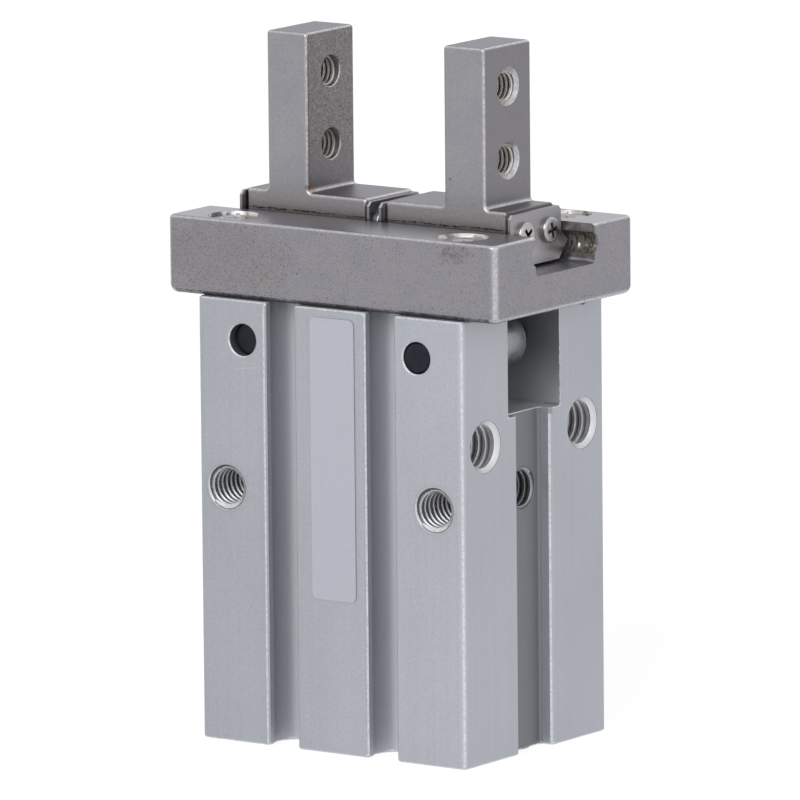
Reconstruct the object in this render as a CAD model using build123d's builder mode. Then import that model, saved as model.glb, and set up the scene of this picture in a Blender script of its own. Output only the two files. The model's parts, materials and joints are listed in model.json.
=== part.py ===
from build123d import *
import math
import os

# A pneumatic parallel gripper with a 16 mm cylinder, fingers closed.
# Lengths are in millimetres. The origin is the middle of the body's bottom face, +Z points to
# the finger tips, the fingers open along X, and the labelled wide face looks to -Y.

os.makedirs("parts", exist_ok=True)

# Driving dimensions of the outside
body_width = 30.6
body_depth = 23.6
body_height = 42.6
body_corner_radius = 0.6
rail_length = 38.0
rail_set_back = 0.3
rail_height = 7.5
rail_corner_radius = 0.85
rail_top_edge_radius = 0.4
overall_height = 67.3
fine_chamfer = 0.15

# Cylinder, stroke and gap values
bore_diameter = 16.0
rod_diameter = 8.0
finger_stroke = 3.0
seat_gap = 0.02
running_gap = 0.03
passage_radius = 0.5
passage_beyond_bore = 1.0

# Sensor grooves in the wide faces
groove_centre = 5.75
groove_opening = 3.3
groove_radius = 2.0
groove_lip_chamfer = 0.25

# Shallow slots down the narrow faces, and the lever pocket above them
side_slot_width = 5.5
side_slot_depth = 1.4
side_slot_root_radius = 0.4
side_slot_lip_chamfer = 0.3
pocket_width = 8.6
pocket_depth = 10.1
pocket_corner_radius = 0.4

# Threaded holes, drawn at the thread's nominal radius
thread_chamfer = 0.4
countersink_angle = 90.0
mount_thread_diameter = 4.0
wide_thread_spacing = 24.0
wide_thread_z = 24.5
wide_thread_depth = 6.0
side_thread_z = 25.1
side_thread_depth = 5.0
bottom_thread_spacing = 23.2
bottom_thread_depth = 8.0
port_thread_diameter = 5.0
port_chamfer = 0.05
port_spacing = 16.1
port_below_top = 12.3
port_depth = 5.0
finger_thread_diameter = 3.0
finger_thread_spacing = 7.0
finger_thread_from_tip = 4.0
jaw_face_thread_chamfer = 0.35
inner_face_thread_chamfer = 0.1

# Bottom of the cylinder: locating bore, snap ring and end cap
locating_bore_diameter = 17.0
snap_ring_z = 1.6
snap_ring_thickness = 0.95
snap_groove_radius = 9.0
snap_ring_radial_width = 1.35
snap_ring_opening_angle = 42.0
snap_lug_radius = 1.15
snap_lug_hole_radius = 0.5
snap_lug_inset = 0.4
end_cap_thickness = 4.0
end_cap_recess_radius = 5.5
end_cap_recess_depth = 0.8
gasket_width = 1.4
gasket_depth = 0.9
bumper_thickness = 0.8
bumper_gap = 0.05
lower_bumper_radius = 6.9
upper_bumper_radius = 7.1

# Piston and its rings
piston_length = 8.55
piston_edge_chamfer = 0.4
wear_ring_width = 1.5
wear_ring_depth = 0.6
piston_seal_width = 1.8
piston_seal_depth = 1.2
magnet_width = 2.4
magnet_depth = 1.2
piston_land = 0.75
rod_seal_width = 1.8
rod_seal_depth = 1.5
rod_seal_below = 1.5

# Bell crank levers
lever_pivot_x = 10.05
lever_pivot_below_rail = 3.8
finger_arm = 9.0
piston_arm = 6.6
lever_hub_radius = 2.9
lever_thickness = 4.4
lever_eye_thickness = 3.0
lever_eye_radius = 2.0
lever_arm_half_width = 1.9
lever_tip_radius = 1.3
lever_neck = 1.9
lever_shaft_diameter = 3.0
shaft_short_of_body = 1.0
left_shaft_recess = 0.85
right_shaft_recess = 0.12
roller_diameter = 2.5
roller_length = 5.4
mechanism_gap = 0.05

# Rod head that the lever tips work in
rod_neck_diameter = 4.0
rod_flange = 1.1

# Guide rail, its ball races and its screws
finger_width = 7.8
finger_bottom_gap = 0.3
slot_floor_thickness = 3.75
slot_side_gap = 1.0
slot_corner_radius = 0.4
ball_diameter = 2.0
ball_height_in_slot = 1.9
ball_play = 0.02
race_gap = 0.1
window_end_gap = 0.3
window_corner_radius = 1.0
guide_screw_from_body_side = 2.1
guide_screw_from_rail_face = 2.95
guide_screw_diameter = 2.5
guide_screw_head_diameter = 4.5
guide_screw_head_height = 2.3
guide_screw_sunk = 0.3
guide_screw_bite = 6.5
thread_run_out = 1.0
guide_screw_socket = 2.0
guide_screw_socket_depth = 1.2
counterbore_gap = 0.25
dowel_diameter = 2.5
dowel_half_length = 4.0

# Fingers
ledge_above_rail = 1.9
finger_inner_end = 1.1
rail_beyond_finger = 3.9
upright_inner_face = 7.87
upright_thickness = 4.7
ledge_fillet = 0.45
finger_edge_radius = 0.35

# Stopper plates on the finger ends, and their screws
stopper_thickness = 0.55
stopper_top_gap = 0.25
stopper_half_width = 4.2
stopper_peak_half_width = 5.25
stopper_shoulder_above_balls = 1.25
stopper_peak_above_balls = 0.05
stopper_corner = 0.4
stopper_screw_diameter = 1.6
stopper_screw_half_spacing = 2.0
stopper_screw_above_balls = 1.4
stopper_screw_bite = 2.2
stopper_screw_head_diameter = 2.5
outer_screw_head_height = 0.55
inner_screw_head_height = 0.32
screw_rim_share = 0.45
cross_recess_width = 0.36
cross_recess_length = 1.5
cross_recess_below_head = 0.15
front_screw_turn = 40.0
back_screw_turn = 12.0

# Blank label on the middle rib
label_width = 5.05
label_height = 27.0
label_thickness = 0.08
label_top_gap = 0.85
label_offset_x = 0.4
label_corner_radius = 0.6

# Places that follow from the sizes above
half_width = body_width / 2
half_depth = body_depth / 2
rail_depth = body_depth - 2 * rail_set_back
rail_top_z = body_height + rail_height
pocket_floor_z = body_height - pocket_depth
port_z = body_height - port_below_top
lever_pivot_z = body_height - lever_pivot_below_rail
lever_shaft_length = body_depth - shaft_short_of_body
bore_radius = bore_diameter / 2
rod_radius = rod_diameter / 2
cap_radius = locating_bore_diameter / 2
end_cap_z = snap_ring_z + snap_ring_thickness + mechanism_gap
chamber_floor_z = end_cap_z + end_cap_thickness
piston_z = chamber_floor_z + bumper_thickness + bumper_gap
piston_top_z = piston_z + piston_length
swing = math.asin(finger_stroke / 2 / finger_arm)
piston_stroke = 2 * piston_arm * math.sin(swing)
upper_bumper_z = piston_top_z + piston_stroke + bumper_gap
chamber_top_z = upper_bumper_z + bumper_thickness
rod_seal_z = chamber_top_z + rod_seal_below
groove_axis_y = half_depth - groove_radius
finger_half_width = finger_width / 2
slot_half_width = finger_half_width + slot_side_gap
slot_floor_z = body_height + slot_floor_thickness
finger_bottom_z = slot_floor_z + finger_bottom_gap
ball_radius = ball_diameter / 2
ball_centre_y = (finger_half_width + slot_half_width) / 2
ball_centre_z = slot_floor_z + ball_height_in_slot
race_radius = ball_radius + race_gap
finger_outer_end = rail_length / 2 - rail_beyond_finger
finger_ledge_z = rail_top_z + ledge_above_rail
upright_outer_face = upright_inner_face + upright_thickness
ball_spacing = ball_diameter + ball_play
balls_per_row = int((finger_outer_end - finger_inner_end - finger_stroke / 2) / ball_spacing)
stopper_top_z = finger_ledge_z - stopper_top_gap
stopper_shoulder_z = ball_centre_z + stopper_shoulder_above_balls
stopper_peak_z = ball_centre_z + stopper_peak_above_balls
stopper_screw_z = ball_centre_z + stopper_screw_above_balls
guide_screw_spacing_x = body_width - 2 * guide_screw_from_body_side
guide_screw_spacing_y = rail_depth - 2 * guide_screw_from_rail_face
dowel_spacing = slot_half_width + rail_depth / 2
roller_rest_x = lever_pivot_x - finger_stroke / 2
roller_rest_z = lever_pivot_z + finger_arm * math.cos(swing)
roller_top_z = lever_pivot_z + finger_arm
eye_slot_half_width = (
    lever_eye_radius / math.cos(swing)
    + (roller_rest_z - finger_bottom_z) * math.tan(swing)
    + 3 * mechanism_gap
)
tip_rest_z = lever_pivot_z - piston_stroke / 2
shaft_hole_radius = lever_shaft_diameter / 2 + running_gap

# Planes on the faces that carry holes, each looking out of its face
front_threads = Plane(origin=(0, -half_depth, wide_thread_z), x_dir=(1, 0, 0), z_dir=(0, -1, 0))
back_threads = Plane(origin=(0, half_depth, wide_thread_z), x_dir=(1, 0, 0), z_dir=(0, 1, 0))
front_shafts = Plane(origin=(0, -half_depth, lever_pivot_z), x_dir=(1, 0, 0), z_dir=(0, -1, 0))
back_shafts = Plane(origin=(0, half_depth, lever_pivot_z), x_dir=(1, 0, 0), z_dir=(0, 1, 0))
port_face = Plane(origin=(half_width, 0, port_z), x_dir=(0, 1, 0), z_dir=(1, 0, 0))
bottom_face = Plane(origin=(0, 0, 0), x_dir=(1, 0, 0), z_dir=(0, 0, -1))

# Air passages: along the port, down beside the cylinder, then in to one chamber
passage_x = bore_radius + passage_beyond_bore
closing_passage_z = chamber_top_z - passage_radius - mechanism_gap
opening_passage_z = chamber_floor_z + passage_radius + mechanism_gap


def ring(inner_radius, outer_radius, bottom_z, height, edge=0.0):
    """A plain ring round the cylinder's axis, with its outer edges broken by edge."""
    with BuildPart() as turned:
        with BuildSketch(Plane.XY.offset(bottom_z)):
            Circle(outer_radius)
            Circle(inner_radius, mode=Mode.SUBTRACT)
        extrude(amount=height)
        if edge > 0:
            outer_rims = turned.edges().filter_by(GeomType.CIRCLE).sort_by(SortBy.RADIUS)[-2:]
            chamfer(outer_rims, edge)
    return turned


# Body: an extrusion with sensor grooves, a stepped cylinder bore and an open lever pocket
with BuildPart() as body:
    with BuildSketch(Plane.XY):
        RectangleRounded(body_width, body_depth, body_corner_radius)
        with GridLocations(2 * groove_centre, 2 * groove_axis_y, 2, 2):
            Circle(groove_radius, mode=Mode.SUBTRACT)
        with GridLocations(2 * groove_centre, 2 * half_depth - groove_radius, 2, 2):
            Rectangle(groove_opening, groove_radius, mode=Mode.SUBTRACT)
        with GridLocations(body_width - side_slot_depth, 0, 2, 1):
            Rectangle(side_slot_depth, side_slot_width, mode=Mode.SUBTRACT)
    extrude(amount=body_height)
    # The lips of the grooves and slots are broken all the way up
    groove_lips = [
        edge for edge in body.edges().filter_by(Axis.Z)
        if abs(abs(edge.center().Y) - half_depth) < seat_gap
        and abs(abs(edge.center().X) - groove_centre) < groove_opening
    ]
    chamfer(groove_lips, groove_lip_chamfer)
    slot_lips = [
        edge for edge in body.edges().filter_by(Axis.Z)
        if abs(abs(edge.center().X) - half_width) < seat_gap
        and abs(edge.center().Y) < side_slot_width
    ]
    chamfer(slot_lips, side_slot_lip_chamfer)
    slot_roots = [
        edge for edge in body.edges().filter_by(Axis.Z)
        if abs(abs(edge.center().X) - half_width + side_slot_depth) < seat_gap
        and abs(abs(edge.center().Y) - side_slot_width / 2) < seat_gap
    ]
    fillet(slot_roots, side_slot_root_radius)
    chamfer(body.edges().group_by(Axis.Z)[-1], fine_chamfer)
    chamfer(body.edges().group_by(Axis.Z)[0], fine_chamfer)
    # Lever pocket, open to both narrow faces and closed above by the guide rail
    with BuildSketch(Plane.YZ):
        with Locations((0, (pocket_floor_z + body_height) / 2 + pocket_corner_radius)):
            RectangleRounded(
                pocket_width,
                body_height - pocket_floor_z + 2 * pocket_corner_radius,
                pocket_corner_radius,
            )
    extrude(amount=body_width, both=True, mode=Mode.SUBTRACT)
    # Cylinder bore with the end cap's seat, the snap ring's groove and the rod seal's groove
    with BuildSketch(Plane.XZ):
        with BuildLine():
            Polyline(
                (0, 0),
                (cap_radius, 0),
                (cap_radius, snap_ring_z),
                (snap_groove_radius, snap_ring_z),
                (snap_groove_radius, end_cap_z),
                (cap_radius, end_cap_z),
                (cap_radius, chamber_floor_z),
                (bore_radius, chamber_floor_z),
                (bore_radius, chamber_top_z),
                (rod_radius + running_gap, chamber_top_z),
                (rod_radius + running_gap, rod_seal_z),
                (rod_radius + rod_seal_depth, rod_seal_z),
                (rod_radius + rod_seal_depth, rod_seal_z + rod_seal_width),
                (rod_radius + running_gap, rod_seal_z + rod_seal_width),
                (rod_radius + running_gap, body_height),
                (0, body_height),
                close=True,
            )
        make_face()
    revolve(axis=Axis.Z, mode=Mode.SUBTRACT)
    # Threaded mounting holes in both wide faces
    with Locations(front_threads, back_threads):
        with GridLocations(wide_thread_spacing, 0, 2, 1):
            CounterSinkHole(
                radius=mount_thread_diameter / 2,
                counter_sink_radius=mount_thread_diameter / 2 + thread_chamfer,
                depth=wide_thread_depth,
                counter_sink_angle=countersink_angle,
            )
    # Reamed holes for the lever shafts, right through
    with Locations(front_shafts, back_shafts):
        with GridLocations(2 * lever_pivot_x, 0, 2, 1):
            CounterSinkHole(
                radius=shaft_hole_radius,
                counter_sink_radius=shaft_hole_radius + fine_chamfer,
                depth=half_depth,
                counter_sink_angle=countersink_angle,
            )
    # Air ports in the right face
    with Locations(port_face):
        with GridLocations(port_spacing, 0, 2, 1):
            CounterSinkHole(
                radius=port_thread_diameter / 2,
                counter_sink_radius=port_thread_diameter / 2 + port_chamfer,
                depth=port_depth,
                counter_sink_angle=countersink_angle,
            )
    # Threads in the floor of both side slots
    for slot_side in (1, -1):
        slot_floor = Plane(
            origin=(slot_side * (half_width - side_slot_depth), 0, side_thread_z),
            x_dir=(0, 1, 0),
            z_dir=(slot_side, 0, 0),
        )
        with Locations(slot_floor):
            CounterSinkHole(
                radius=mount_thread_diameter / 2,
                counter_sink_radius=mount_thread_diameter / 2 + thread_chamfer,
                depth=side_thread_depth,
                counter_sink_angle=countersink_angle,
            )
    # Threads in the bottom face
    with Locations(bottom_face):
        with GridLocations(bottom_thread_spacing, 0, 2, 1):
            CounterSinkHole(
                radius=mount_thread_diameter / 2,
                counter_sink_radius=mount_thread_diameter / 2 + thread_chamfer,
                depth=bottom_thread_depth,
                counter_sink_angle=countersink_angle,
            )
    # Threads for the guide screws, and the dowel holes
    with Locations(Plane.XY.offset(body_height)):
        with GridLocations(guide_screw_spacing_x, guide_screw_spacing_y, 2, 2):
            Hole(radius=guide_screw_diameter / 2 + seat_gap, depth=guide_screw_bite + thread_run_out)
        with GridLocations(0, dowel_spacing, 1, 2):
            Hole(radius=dowel_diameter / 2 + seat_gap, depth=dowel_half_length + seat_gap)
    # Air passages from each port to its chamber
    for passage_side, passage_z in ((-1, closing_passage_z), (1, opening_passage_z)):
        port_y = passage_side * port_spacing / 2
        reach = math.hypot(passage_x, port_y) - bore_radius
        with BuildSketch(Plane(origin=(passage_x, port_y, port_z), z_dir=(1, 0, 0))):
            Circle(passage_radius)
        extrude(amount=half_width - port_depth - passage_x + passage_radius, mode=Mode.SUBTRACT)
        with BuildSketch(Plane.XY.offset(passage_z - passage_radius)):
            with Locations((passage_x, port_y)):
                Circle(passage_radius)
        extrude(amount=port_z - passage_z + 2 * passage_radius, mode=Mode.SUBTRACT)
        with BuildSketch(Plane(origin=(passage_x, port_y, passage_z), z_dir=(-passage_x, -port_y, 0))):
            Circle(passage_radius)
        extrude(amount=reach + passage_radius, mode=Mode.SUBTRACT)
body.part.label = "body"
export_step(body.part, "parts/body.step")

# Guide rail: a hard steel block with the ball slot right through it
with BuildPart() as guide_rail:
    with BuildSketch(Plane.XY.offset(body_height)):
        RectangleRounded(rail_length, rail_depth, rail_corner_radius)
    extrude(amount=rail_height)
    fillet(guide_rail.edges().group_by(Axis.Z)[0], rail_corner_radius)
    fillet(guide_rail.edges().group_by(Axis.Z)[-1], rail_top_edge_radius)
    with BuildSketch(Plane.YZ):
        with Locations((0, (slot_floor_z + rail_top_z) / 2 + slot_corner_radius)):
            RectangleRounded(
                2 * slot_half_width,
                rail_top_z - slot_floor_z + 2 * slot_corner_radius,
                slot_corner_radius,
            )
        with Locations((ball_centre_y, ball_centre_z), (-ball_centre_y, ball_centre_z)):
            Circle(race_radius)
    extrude(amount=rail_length, both=True, mode=Mode.SUBTRACT)
    # Windows in the slot floor for the upper lever arms
    with BuildSketch(Plane.XY.offset(body_height)):
        with GridLocations(2 * lever_pivot_x, 0, 2, 1):
            RectangleRounded(
                finger_stroke + 2 * (lever_eye_radius + window_end_gap),
                roller_length + 2 * window_end_gap,
                window_corner_radius,
            )
    extrude(amount=slot_floor_z - body_height, mode=Mode.SUBTRACT)
    with Locations(Plane.XY.offset(rail_top_z)):
        with GridLocations(guide_screw_spacing_x, guide_screw_spacing_y, 2, 2):
            CounterBoreHole(
                radius=guide_screw_diameter / 2 + fine_chamfer,
                counter_bore_radius=guide_screw_head_diameter / 2 + counterbore_gap,
                counter_bore_depth=guide_screw_sunk + guide_screw_head_height,
                depth=rail_height,
            )
    with Locations(Plane(origin=(0, 0, body_height), z_dir=(0, 0, -1))):
        with GridLocations(0, dowel_spacing, 1, 2):
            Hole(radius=dowel_diameter / 2 + seat_gap, depth=dowel_half_length + seat_gap)
guide_rail.part.label = "guide_rail"
export_step(guide_rail.part, "parts/guide_rail.step")

# Four socket screws hold the rail down
screw_head_z = rail_top_z - guide_screw_sunk - guide_screw_head_height
with BuildPart() as guide_screws:
    with BuildSketch(Plane.XY.offset(screw_head_z)):
        with GridLocations(guide_screw_spacing_x, guide_screw_spacing_y, 2, 2):
            Circle(guide_screw_head_diameter / 2)
    extrude(amount=guide_screw_head_height)
    chamfer(guide_screws.edges().group_by(Axis.Z)[-1], fine_chamfer)
    with BuildSketch(Plane.XY.offset(body_height - guide_screw_bite)):
        with GridLocations(guide_screw_spacing_x, guide_screw_spacing_y, 2, 2):
            Circle(guide_screw_diameter / 2)
    extrude(amount=screw_head_z - body_height + guide_screw_bite)
    with BuildSketch(Plane.XY.offset(screw_head_z + guide_screw_head_height)):
        with GridLocations(guide_screw_spacing_x, guide_screw_spacing_y, 2, 2):
            RegularPolygon(guide_screw_socket / 2, 6, major_radius=False)
    extrude(amount=-guide_screw_socket_depth, mode=Mode.SUBTRACT)
guide_screws.part.label = "guide_screws"
export_step(guide_screws.part, "parts/guide_screws.step")

# Two dowels keep the rail square to the body
with BuildPart() as guide_dowels:
    with BuildSketch(Plane.XY.offset(body_height - dowel_half_length)):
        with GridLocations(0, dowel_spacing, 1, 2):
            Circle(dowel_diameter / 2)
    extrude(amount=2 * dowel_half_length)
    chamfer(guide_dowels.edges().filter_by(GeomType.CIRCLE), fine_chamfer)
guide_dowels.part.label = "guide_dowels"
export_step(guide_dowels.part, "parts/guide_dowels.step")

# Piston and rod, one turned piece, with the neck that the lever tips work in
neck_half = lever_tip_radius + mechanism_gap
wear_ring_z = piston_z + piston_land
piston_seal_z = wear_ring_z + wear_ring_width + piston_land
magnet_z = piston_seal_z + piston_seal_width + piston_land
piston_radius = bore_radius - 2 * running_gap
with BuildPart() as piston:
    with BuildSketch(Plane.XZ):
        with BuildLine():
            Polyline(
                (0, piston_z),
                (piston_radius - piston_edge_chamfer, piston_z),
                (piston_radius, piston_z + piston_edge_chamfer),
                (piston_radius, piston_top_z - piston_edge_chamfer),
                (piston_radius - piston_edge_chamfer, piston_top_z),
                (rod_radius, piston_top_z),
                (rod_radius, tip_rest_z - neck_half),
                (rod_neck_diameter / 2, tip_rest_z - neck_half),
                (rod_neck_diameter / 2, tip_rest_z + neck_half),
                (rod_radius, tip_rest_z + neck_half),
                (rod_radius, tip_rest_z + neck_half + rod_flange - fine_chamfer),
                (rod_radius - fine_chamfer, tip_rest_z + neck_half + rod_flange),
                (0, tip_rest_z + neck_half + rod_flange),
                close=True,
            )
        make_face()
    revolve(axis=Axis.Z)
    for ring_z, ring_width, ring_depth in (
        (wear_ring_z, wear_ring_width, wear_ring_depth),
        (piston_seal_z, piston_seal_width, piston_seal_depth),
        (magnet_z, magnet_width, magnet_depth),
    ):
        with BuildSketch(Plane.XY.offset(ring_z)):
            Circle(bore_radius)
            Circle(piston_radius - ring_depth, mode=Mode.SUBTRACT)
        extrude(amount=ring_width, mode=Mode.SUBTRACT)
piston.part.label = "piston"
export_step(piston.part, "parts/piston.step")

# Rings on the piston, each a little narrower than its groove
wear_ring = ring(
    piston_radius - wear_ring_depth + seat_gap,
    bore_radius - running_gap,
    wear_ring_z + seat_gap,
    wear_ring_width - 2 * seat_gap,
)
wear_ring.part.label = "wear_ring"
export_step(wear_ring.part, "parts/wear_ring.step")

piston_seal = ring(
    piston_radius - piston_seal_depth + seat_gap,
    bore_radius - seat_gap,
    piston_seal_z + mechanism_gap,
    piston_seal_width - 2 * mechanism_gap,
    edge=fine_chamfer,
)
piston_seal.part.label = "piston_seal"
export_step(piston_seal.part, "parts/piston_seal.step")

magnet_ring = ring(
    piston_radius - magnet_depth + seat_gap,
    piston_radius - mechanism_gap,
    magnet_z + seat_gap,
    magnet_width - 2 * seat_gap,
)
magnet_ring.part.label = "magnet_ring"
export_step(magnet_ring.part, "parts/magnet_ring.step")

# Rod seal in its groove above the cylinder
rod_seal = ring(
    rod_radius + seat_gap,
    rod_radius + rod_seal_depth - seat_gap,
    rod_seal_z + mechanism_gap,
    rod_seal_width - 2 * mechanism_gap,
)
rod_seal.part.label = "rod_seal"
export_step(rod_seal.part, "parts/rod_seal.step")

# Rubber bumpers at both ends of the stroke
lower_bumper = ring(rod_radius, lower_bumper_radius, chamber_floor_z, bumper_thickness)
lower_bumper.part.label = "lower_bumper"
export_step(lower_bumper.part, "parts/lower_bumper.step")

upper_bumper = ring(rod_radius + 2 * race_gap, upper_bumper_radius, upper_bumper_z, bumper_thickness)
upper_bumper.part.label = "upper_bumper"
export_step(upper_bumper.part, "parts/upper_bumper.step")

# End cap with a groove for its gasket and a shallow recess below
gasket_z = end_cap_z + (end_cap_thickness - gasket_width) / 2
with BuildPart() as end_cap:
    with BuildSketch(Plane.XY.offset(end_cap_z)):
        Circle(cap_radius - seat_gap)
    extrude(amount=end_cap_thickness)
    chamfer(end_cap.edges().filter_by(GeomType.CIRCLE), fine_chamfer)
    with BuildSketch(Plane.XY.offset(gasket_z)):
        Circle(cap_radius)
        Circle(cap_radius - gasket_depth, mode=Mode.SUBTRACT)
    extrude(amount=gasket_width, mode=Mode.SUBTRACT)
    with BuildSketch(Plane.XY.offset(end_cap_z)):
        Circle(end_cap_recess_radius)
    extrude(amount=end_cap_recess_depth, mode=Mode.SUBTRACT)
end_cap.part.label = "end_cap"
export_step(end_cap.part, "parts/end_cap.step")

end_cap_gasket = ring(
    cap_radius - gasket_depth + seat_gap,
    cap_radius - seat_gap,
    gasket_z + seat_gap,
    gasket_width - 2 * seat_gap,
    edge=fine_chamfer,
)
end_cap_gasket.part.label = "end_cap_gasket"
export_step(end_cap_gasket.part, "parts/end_cap_gasket.step")

# Snap ring with plier lugs either side of its opening
ring_outer = snap_groove_radius - seat_gap
ring_inner = ring_outer - snap_ring_radial_width
lug_circle = ring_inner - snap_lug_inset
half_opening = snap_ring_opening_angle / 2
with BuildPart() as snap_ring:
    with BuildSketch(Plane.XY.offset(snap_ring_z + seat_gap)):
        Circle(ring_outer)
        Circle(ring_inner, mode=Mode.SUBTRACT)
        with BuildLine():
            Polyline(
                (0, 0),
                (2 * ring_outer * math.sin(math.radians(half_opening)),
                 -2 * ring_outer * math.cos(math.radians(half_opening))),
                (-2 * ring_outer * math.sin(math.radians(half_opening)),
                 -2 * ring_outer * math.cos(math.radians(half_opening))),
                close=True,
            )
        make_face(mode=Mode.SUBTRACT)
        with PolarLocations(
            lug_circle,
            2,
            start_angle=270 - half_opening,
            angular_range=2 * snap_ring_opening_angle,
        ):
            Circle(snap_lug_radius)
            Circle(snap_lug_hole_radius, mode=Mode.SUBTRACT)
    extrude(amount=snap_ring_thickness)
snap_ring.part.label = "snap_ring"
export_step(snap_ring.part, "parts/snap_ring.step")

# Blank label on the rib between the front sensor grooves
with BuildPart() as blank_label:
    with BuildSketch(Plane.XZ.offset(half_depth)):
        with Locations((label_offset_x, body_height - label_top_gap - label_height / 2)):
            RectangleRounded(label_width, label_height, label_corner_radius)
    extrude(amount=label_thickness)
blank_label.part.label = "blank_label"
export_step(blank_label.part, "parts/blank_label.step")

# The linkage, the fingers and what they carry, once for each side
for side_name, side, shaft_recess in (
    ("right", 1, right_shaft_recess),
    ("left", -1, left_shaft_recess),
):
    # Fixed shaft that the lever turns on, along Y
    with BuildPart() as lever_shaft:
        with BuildSketch(Plane.XZ.offset(half_depth - shaft_recess)):
            with Locations((side * lever_pivot_x, lever_pivot_z)):
                Circle(lever_shaft_diameter / 2)
        extrude(amount=-lever_shaft_length)
        chamfer(lever_shaft.edges().filter_by(GeomType.CIRCLE), fine_chamfer)
    lever_shaft.part.label = f"{side_name}_lever_shaft"
    export_step(lever_shaft.part, f"parts/{side_name}_lever_shaft.step")

    # Bell crank: a tip in the rod's neck, a hub on the shaft and an eye up in the finger
    lever_plane = Plane(
        origin=(side * lever_pivot_x, 0, lever_pivot_z),
        x_dir=(math.cos(swing), 0, side * math.sin(swing)),
        z_dir=(0, -1, 0),
    )
    with BuildPart() as lever:
        with BuildSketch(lever_plane):
            Circle(lever_hub_radius)
            with Locations((-side * piston_arm, 0)):
                Circle(lever_tip_radius)
            with Locations((-side * piston_arm / 2, 0)):
                Rectangle(piston_arm, lever_neck)
        extrude(amount=lever_thickness / 2, both=True)
        with BuildSketch(lever_plane):
            Circle(lever_arm_half_width)
            with Locations((0, finger_arm)):
                Circle(lever_eye_radius)
            make_hull()
        extrude(amount=lever_eye_thickness / 2, both=True)
        with BuildSketch(lever_plane):
            Circle(shaft_hole_radius)
            with Locations((0, finger_arm)):
                Circle(roller_diameter / 2 + seat_gap)
        extrude(amount=lever_thickness, both=True, mode=Mode.SUBTRACT)
    lever.part.label = f"{side_name}_lever"
    export_step(lever.part, f"parts/{side_name}_lever.step")

    # Needle roller through the lever's eye
    with BuildPart() as needle_roller:
        with BuildSketch(lever_plane):
            with Locations((0, finger_arm)):
                Circle(roller_diameter / 2)
        extrude(amount=roller_length / 2, both=True)
        chamfer(needle_roller.edges().filter_by(GeomType.CIRCLE), fine_chamfer)
    needle_roller.part.label = f"{side_name}_needle_roller"
    export_step(needle_roller.part, f"parts/{side_name}_needle_roller.step")

    # Finger: a base that runs in the rail and an upright with two threaded holes
    with BuildPart() as finger:
        with BuildSketch(Plane.XZ):
            with BuildLine():
                Polyline(
                    (side * finger_inner_end, finger_bottom_z),
                    (side * finger_outer_end, finger_bottom_z),
                    (side * finger_outer_end, finger_ledge_z),
                    (side * upright_outer_face, finger_ledge_z),
                    (side * upright_outer_face, overall_height),
                    (side * upright_inner_face, overall_height),
                    (side * upright_inner_face, finger_ledge_z),
                    (side * finger_inner_end, finger_ledge_z),
                    close=True,
                )
            make_face()
        extrude(amount=finger_half_width, both=True)
        inside_corners = [
            edge for edge in finger.edges().filter_by(Axis.Y)
            if abs(edge.center().Z - finger_ledge_z) < seat_gap
            and upright_inner_face - seat_gap < abs(edge.center().X) < upright_outer_face + seat_gap
        ]
        fillet(inside_corners, ledge_fillet)
        # Every outer edge but the bottom ones is tumbled round: the outline on both sides,
        # the top and the upper edges of the two ends
        outline_edges = [
            edge for edge in finger.edges()
            if abs(abs(edge.center().Y) - finger_half_width) < seat_gap
            and edge.center().Z > finger_bottom_z + seat_gap
        ]
        cross_edges = [
            edge for edge in finger.edges().filter_by(Axis.Y)
            if abs(edge.center().Z - overall_height) < seat_gap
            or (
                abs(edge.center().Z - finger_ledge_z) < seat_gap
                and min(
                    abs(abs(edge.center().X) - finger_inner_end),
                    abs(abs(edge.center().X) - finger_outer_end),
                ) < seat_gap
            )
        ]
        fillet(outline_edges + cross_edges, finger_edge_radius)
        with BuildSketch(Plane.YZ.offset(side * finger_inner_end)):
            with Locations((ball_centre_y, ball_centre_z), (-ball_centre_y, ball_centre_z)):
                Circle(race_radius)
        extrude(amount=side * (finger_outer_end - finger_inner_end), mode=Mode.SUBTRACT)
        # Slot for the lever's eye, and narrower notches that the roller bears on
        with BuildSketch(Plane.XY.offset(finger_bottom_z)):
            with Locations((side * roller_rest_x, 0)):
                Rectangle(2 * eye_slot_half_width, lever_eye_thickness + 4 * mechanism_gap)
        extrude(
            amount=roller_top_z + lever_eye_radius + 3 * mechanism_gap - finger_bottom_z,
            mode=Mode.SUBTRACT,
        )
        with BuildSketch(Plane.XY.offset(finger_bottom_z)):
            with Locations((side * roller_rest_x, 0)):
                Rectangle(
                    roller_diameter + 2 * mechanism_gap,
                    roller_length + 4 * mechanism_gap,
                )
        extrude(
            amount=roller_top_z + roller_diameter / 2 + 3 * mechanism_gap - finger_bottom_z,
            mode=Mode.SUBTRACT,
        )
        # Threaded holes for the jaws that a user fits, right through the upright
        upright_middle_z = overall_height - finger_thread_from_tip - finger_thread_spacing / 2
        for face_x, face_way, face_chamfer in (
            (upright_inner_face, -1, inner_face_thread_chamfer),
            (upright_outer_face, 1, jaw_face_thread_chamfer),
        ):
            jaw_face = Plane(
                origin=(side * face_x, 0, upright_middle_z),
                x_dir=(0, 1, 0),
                z_dir=(side * face_way, 0, 0),
            )
            with Locations(jaw_face):
                with GridLocations(0, finger_thread_spacing, 1, 2):
                    CounterSinkHole(
                        radius=finger_thread_diameter / 2,
                        counter_sink_radius=finger_thread_diameter / 2 + face_chamfer,
                        depth=upright_thickness / 2,
                        counter_sink_angle=countersink_angle,
                    )
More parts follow.
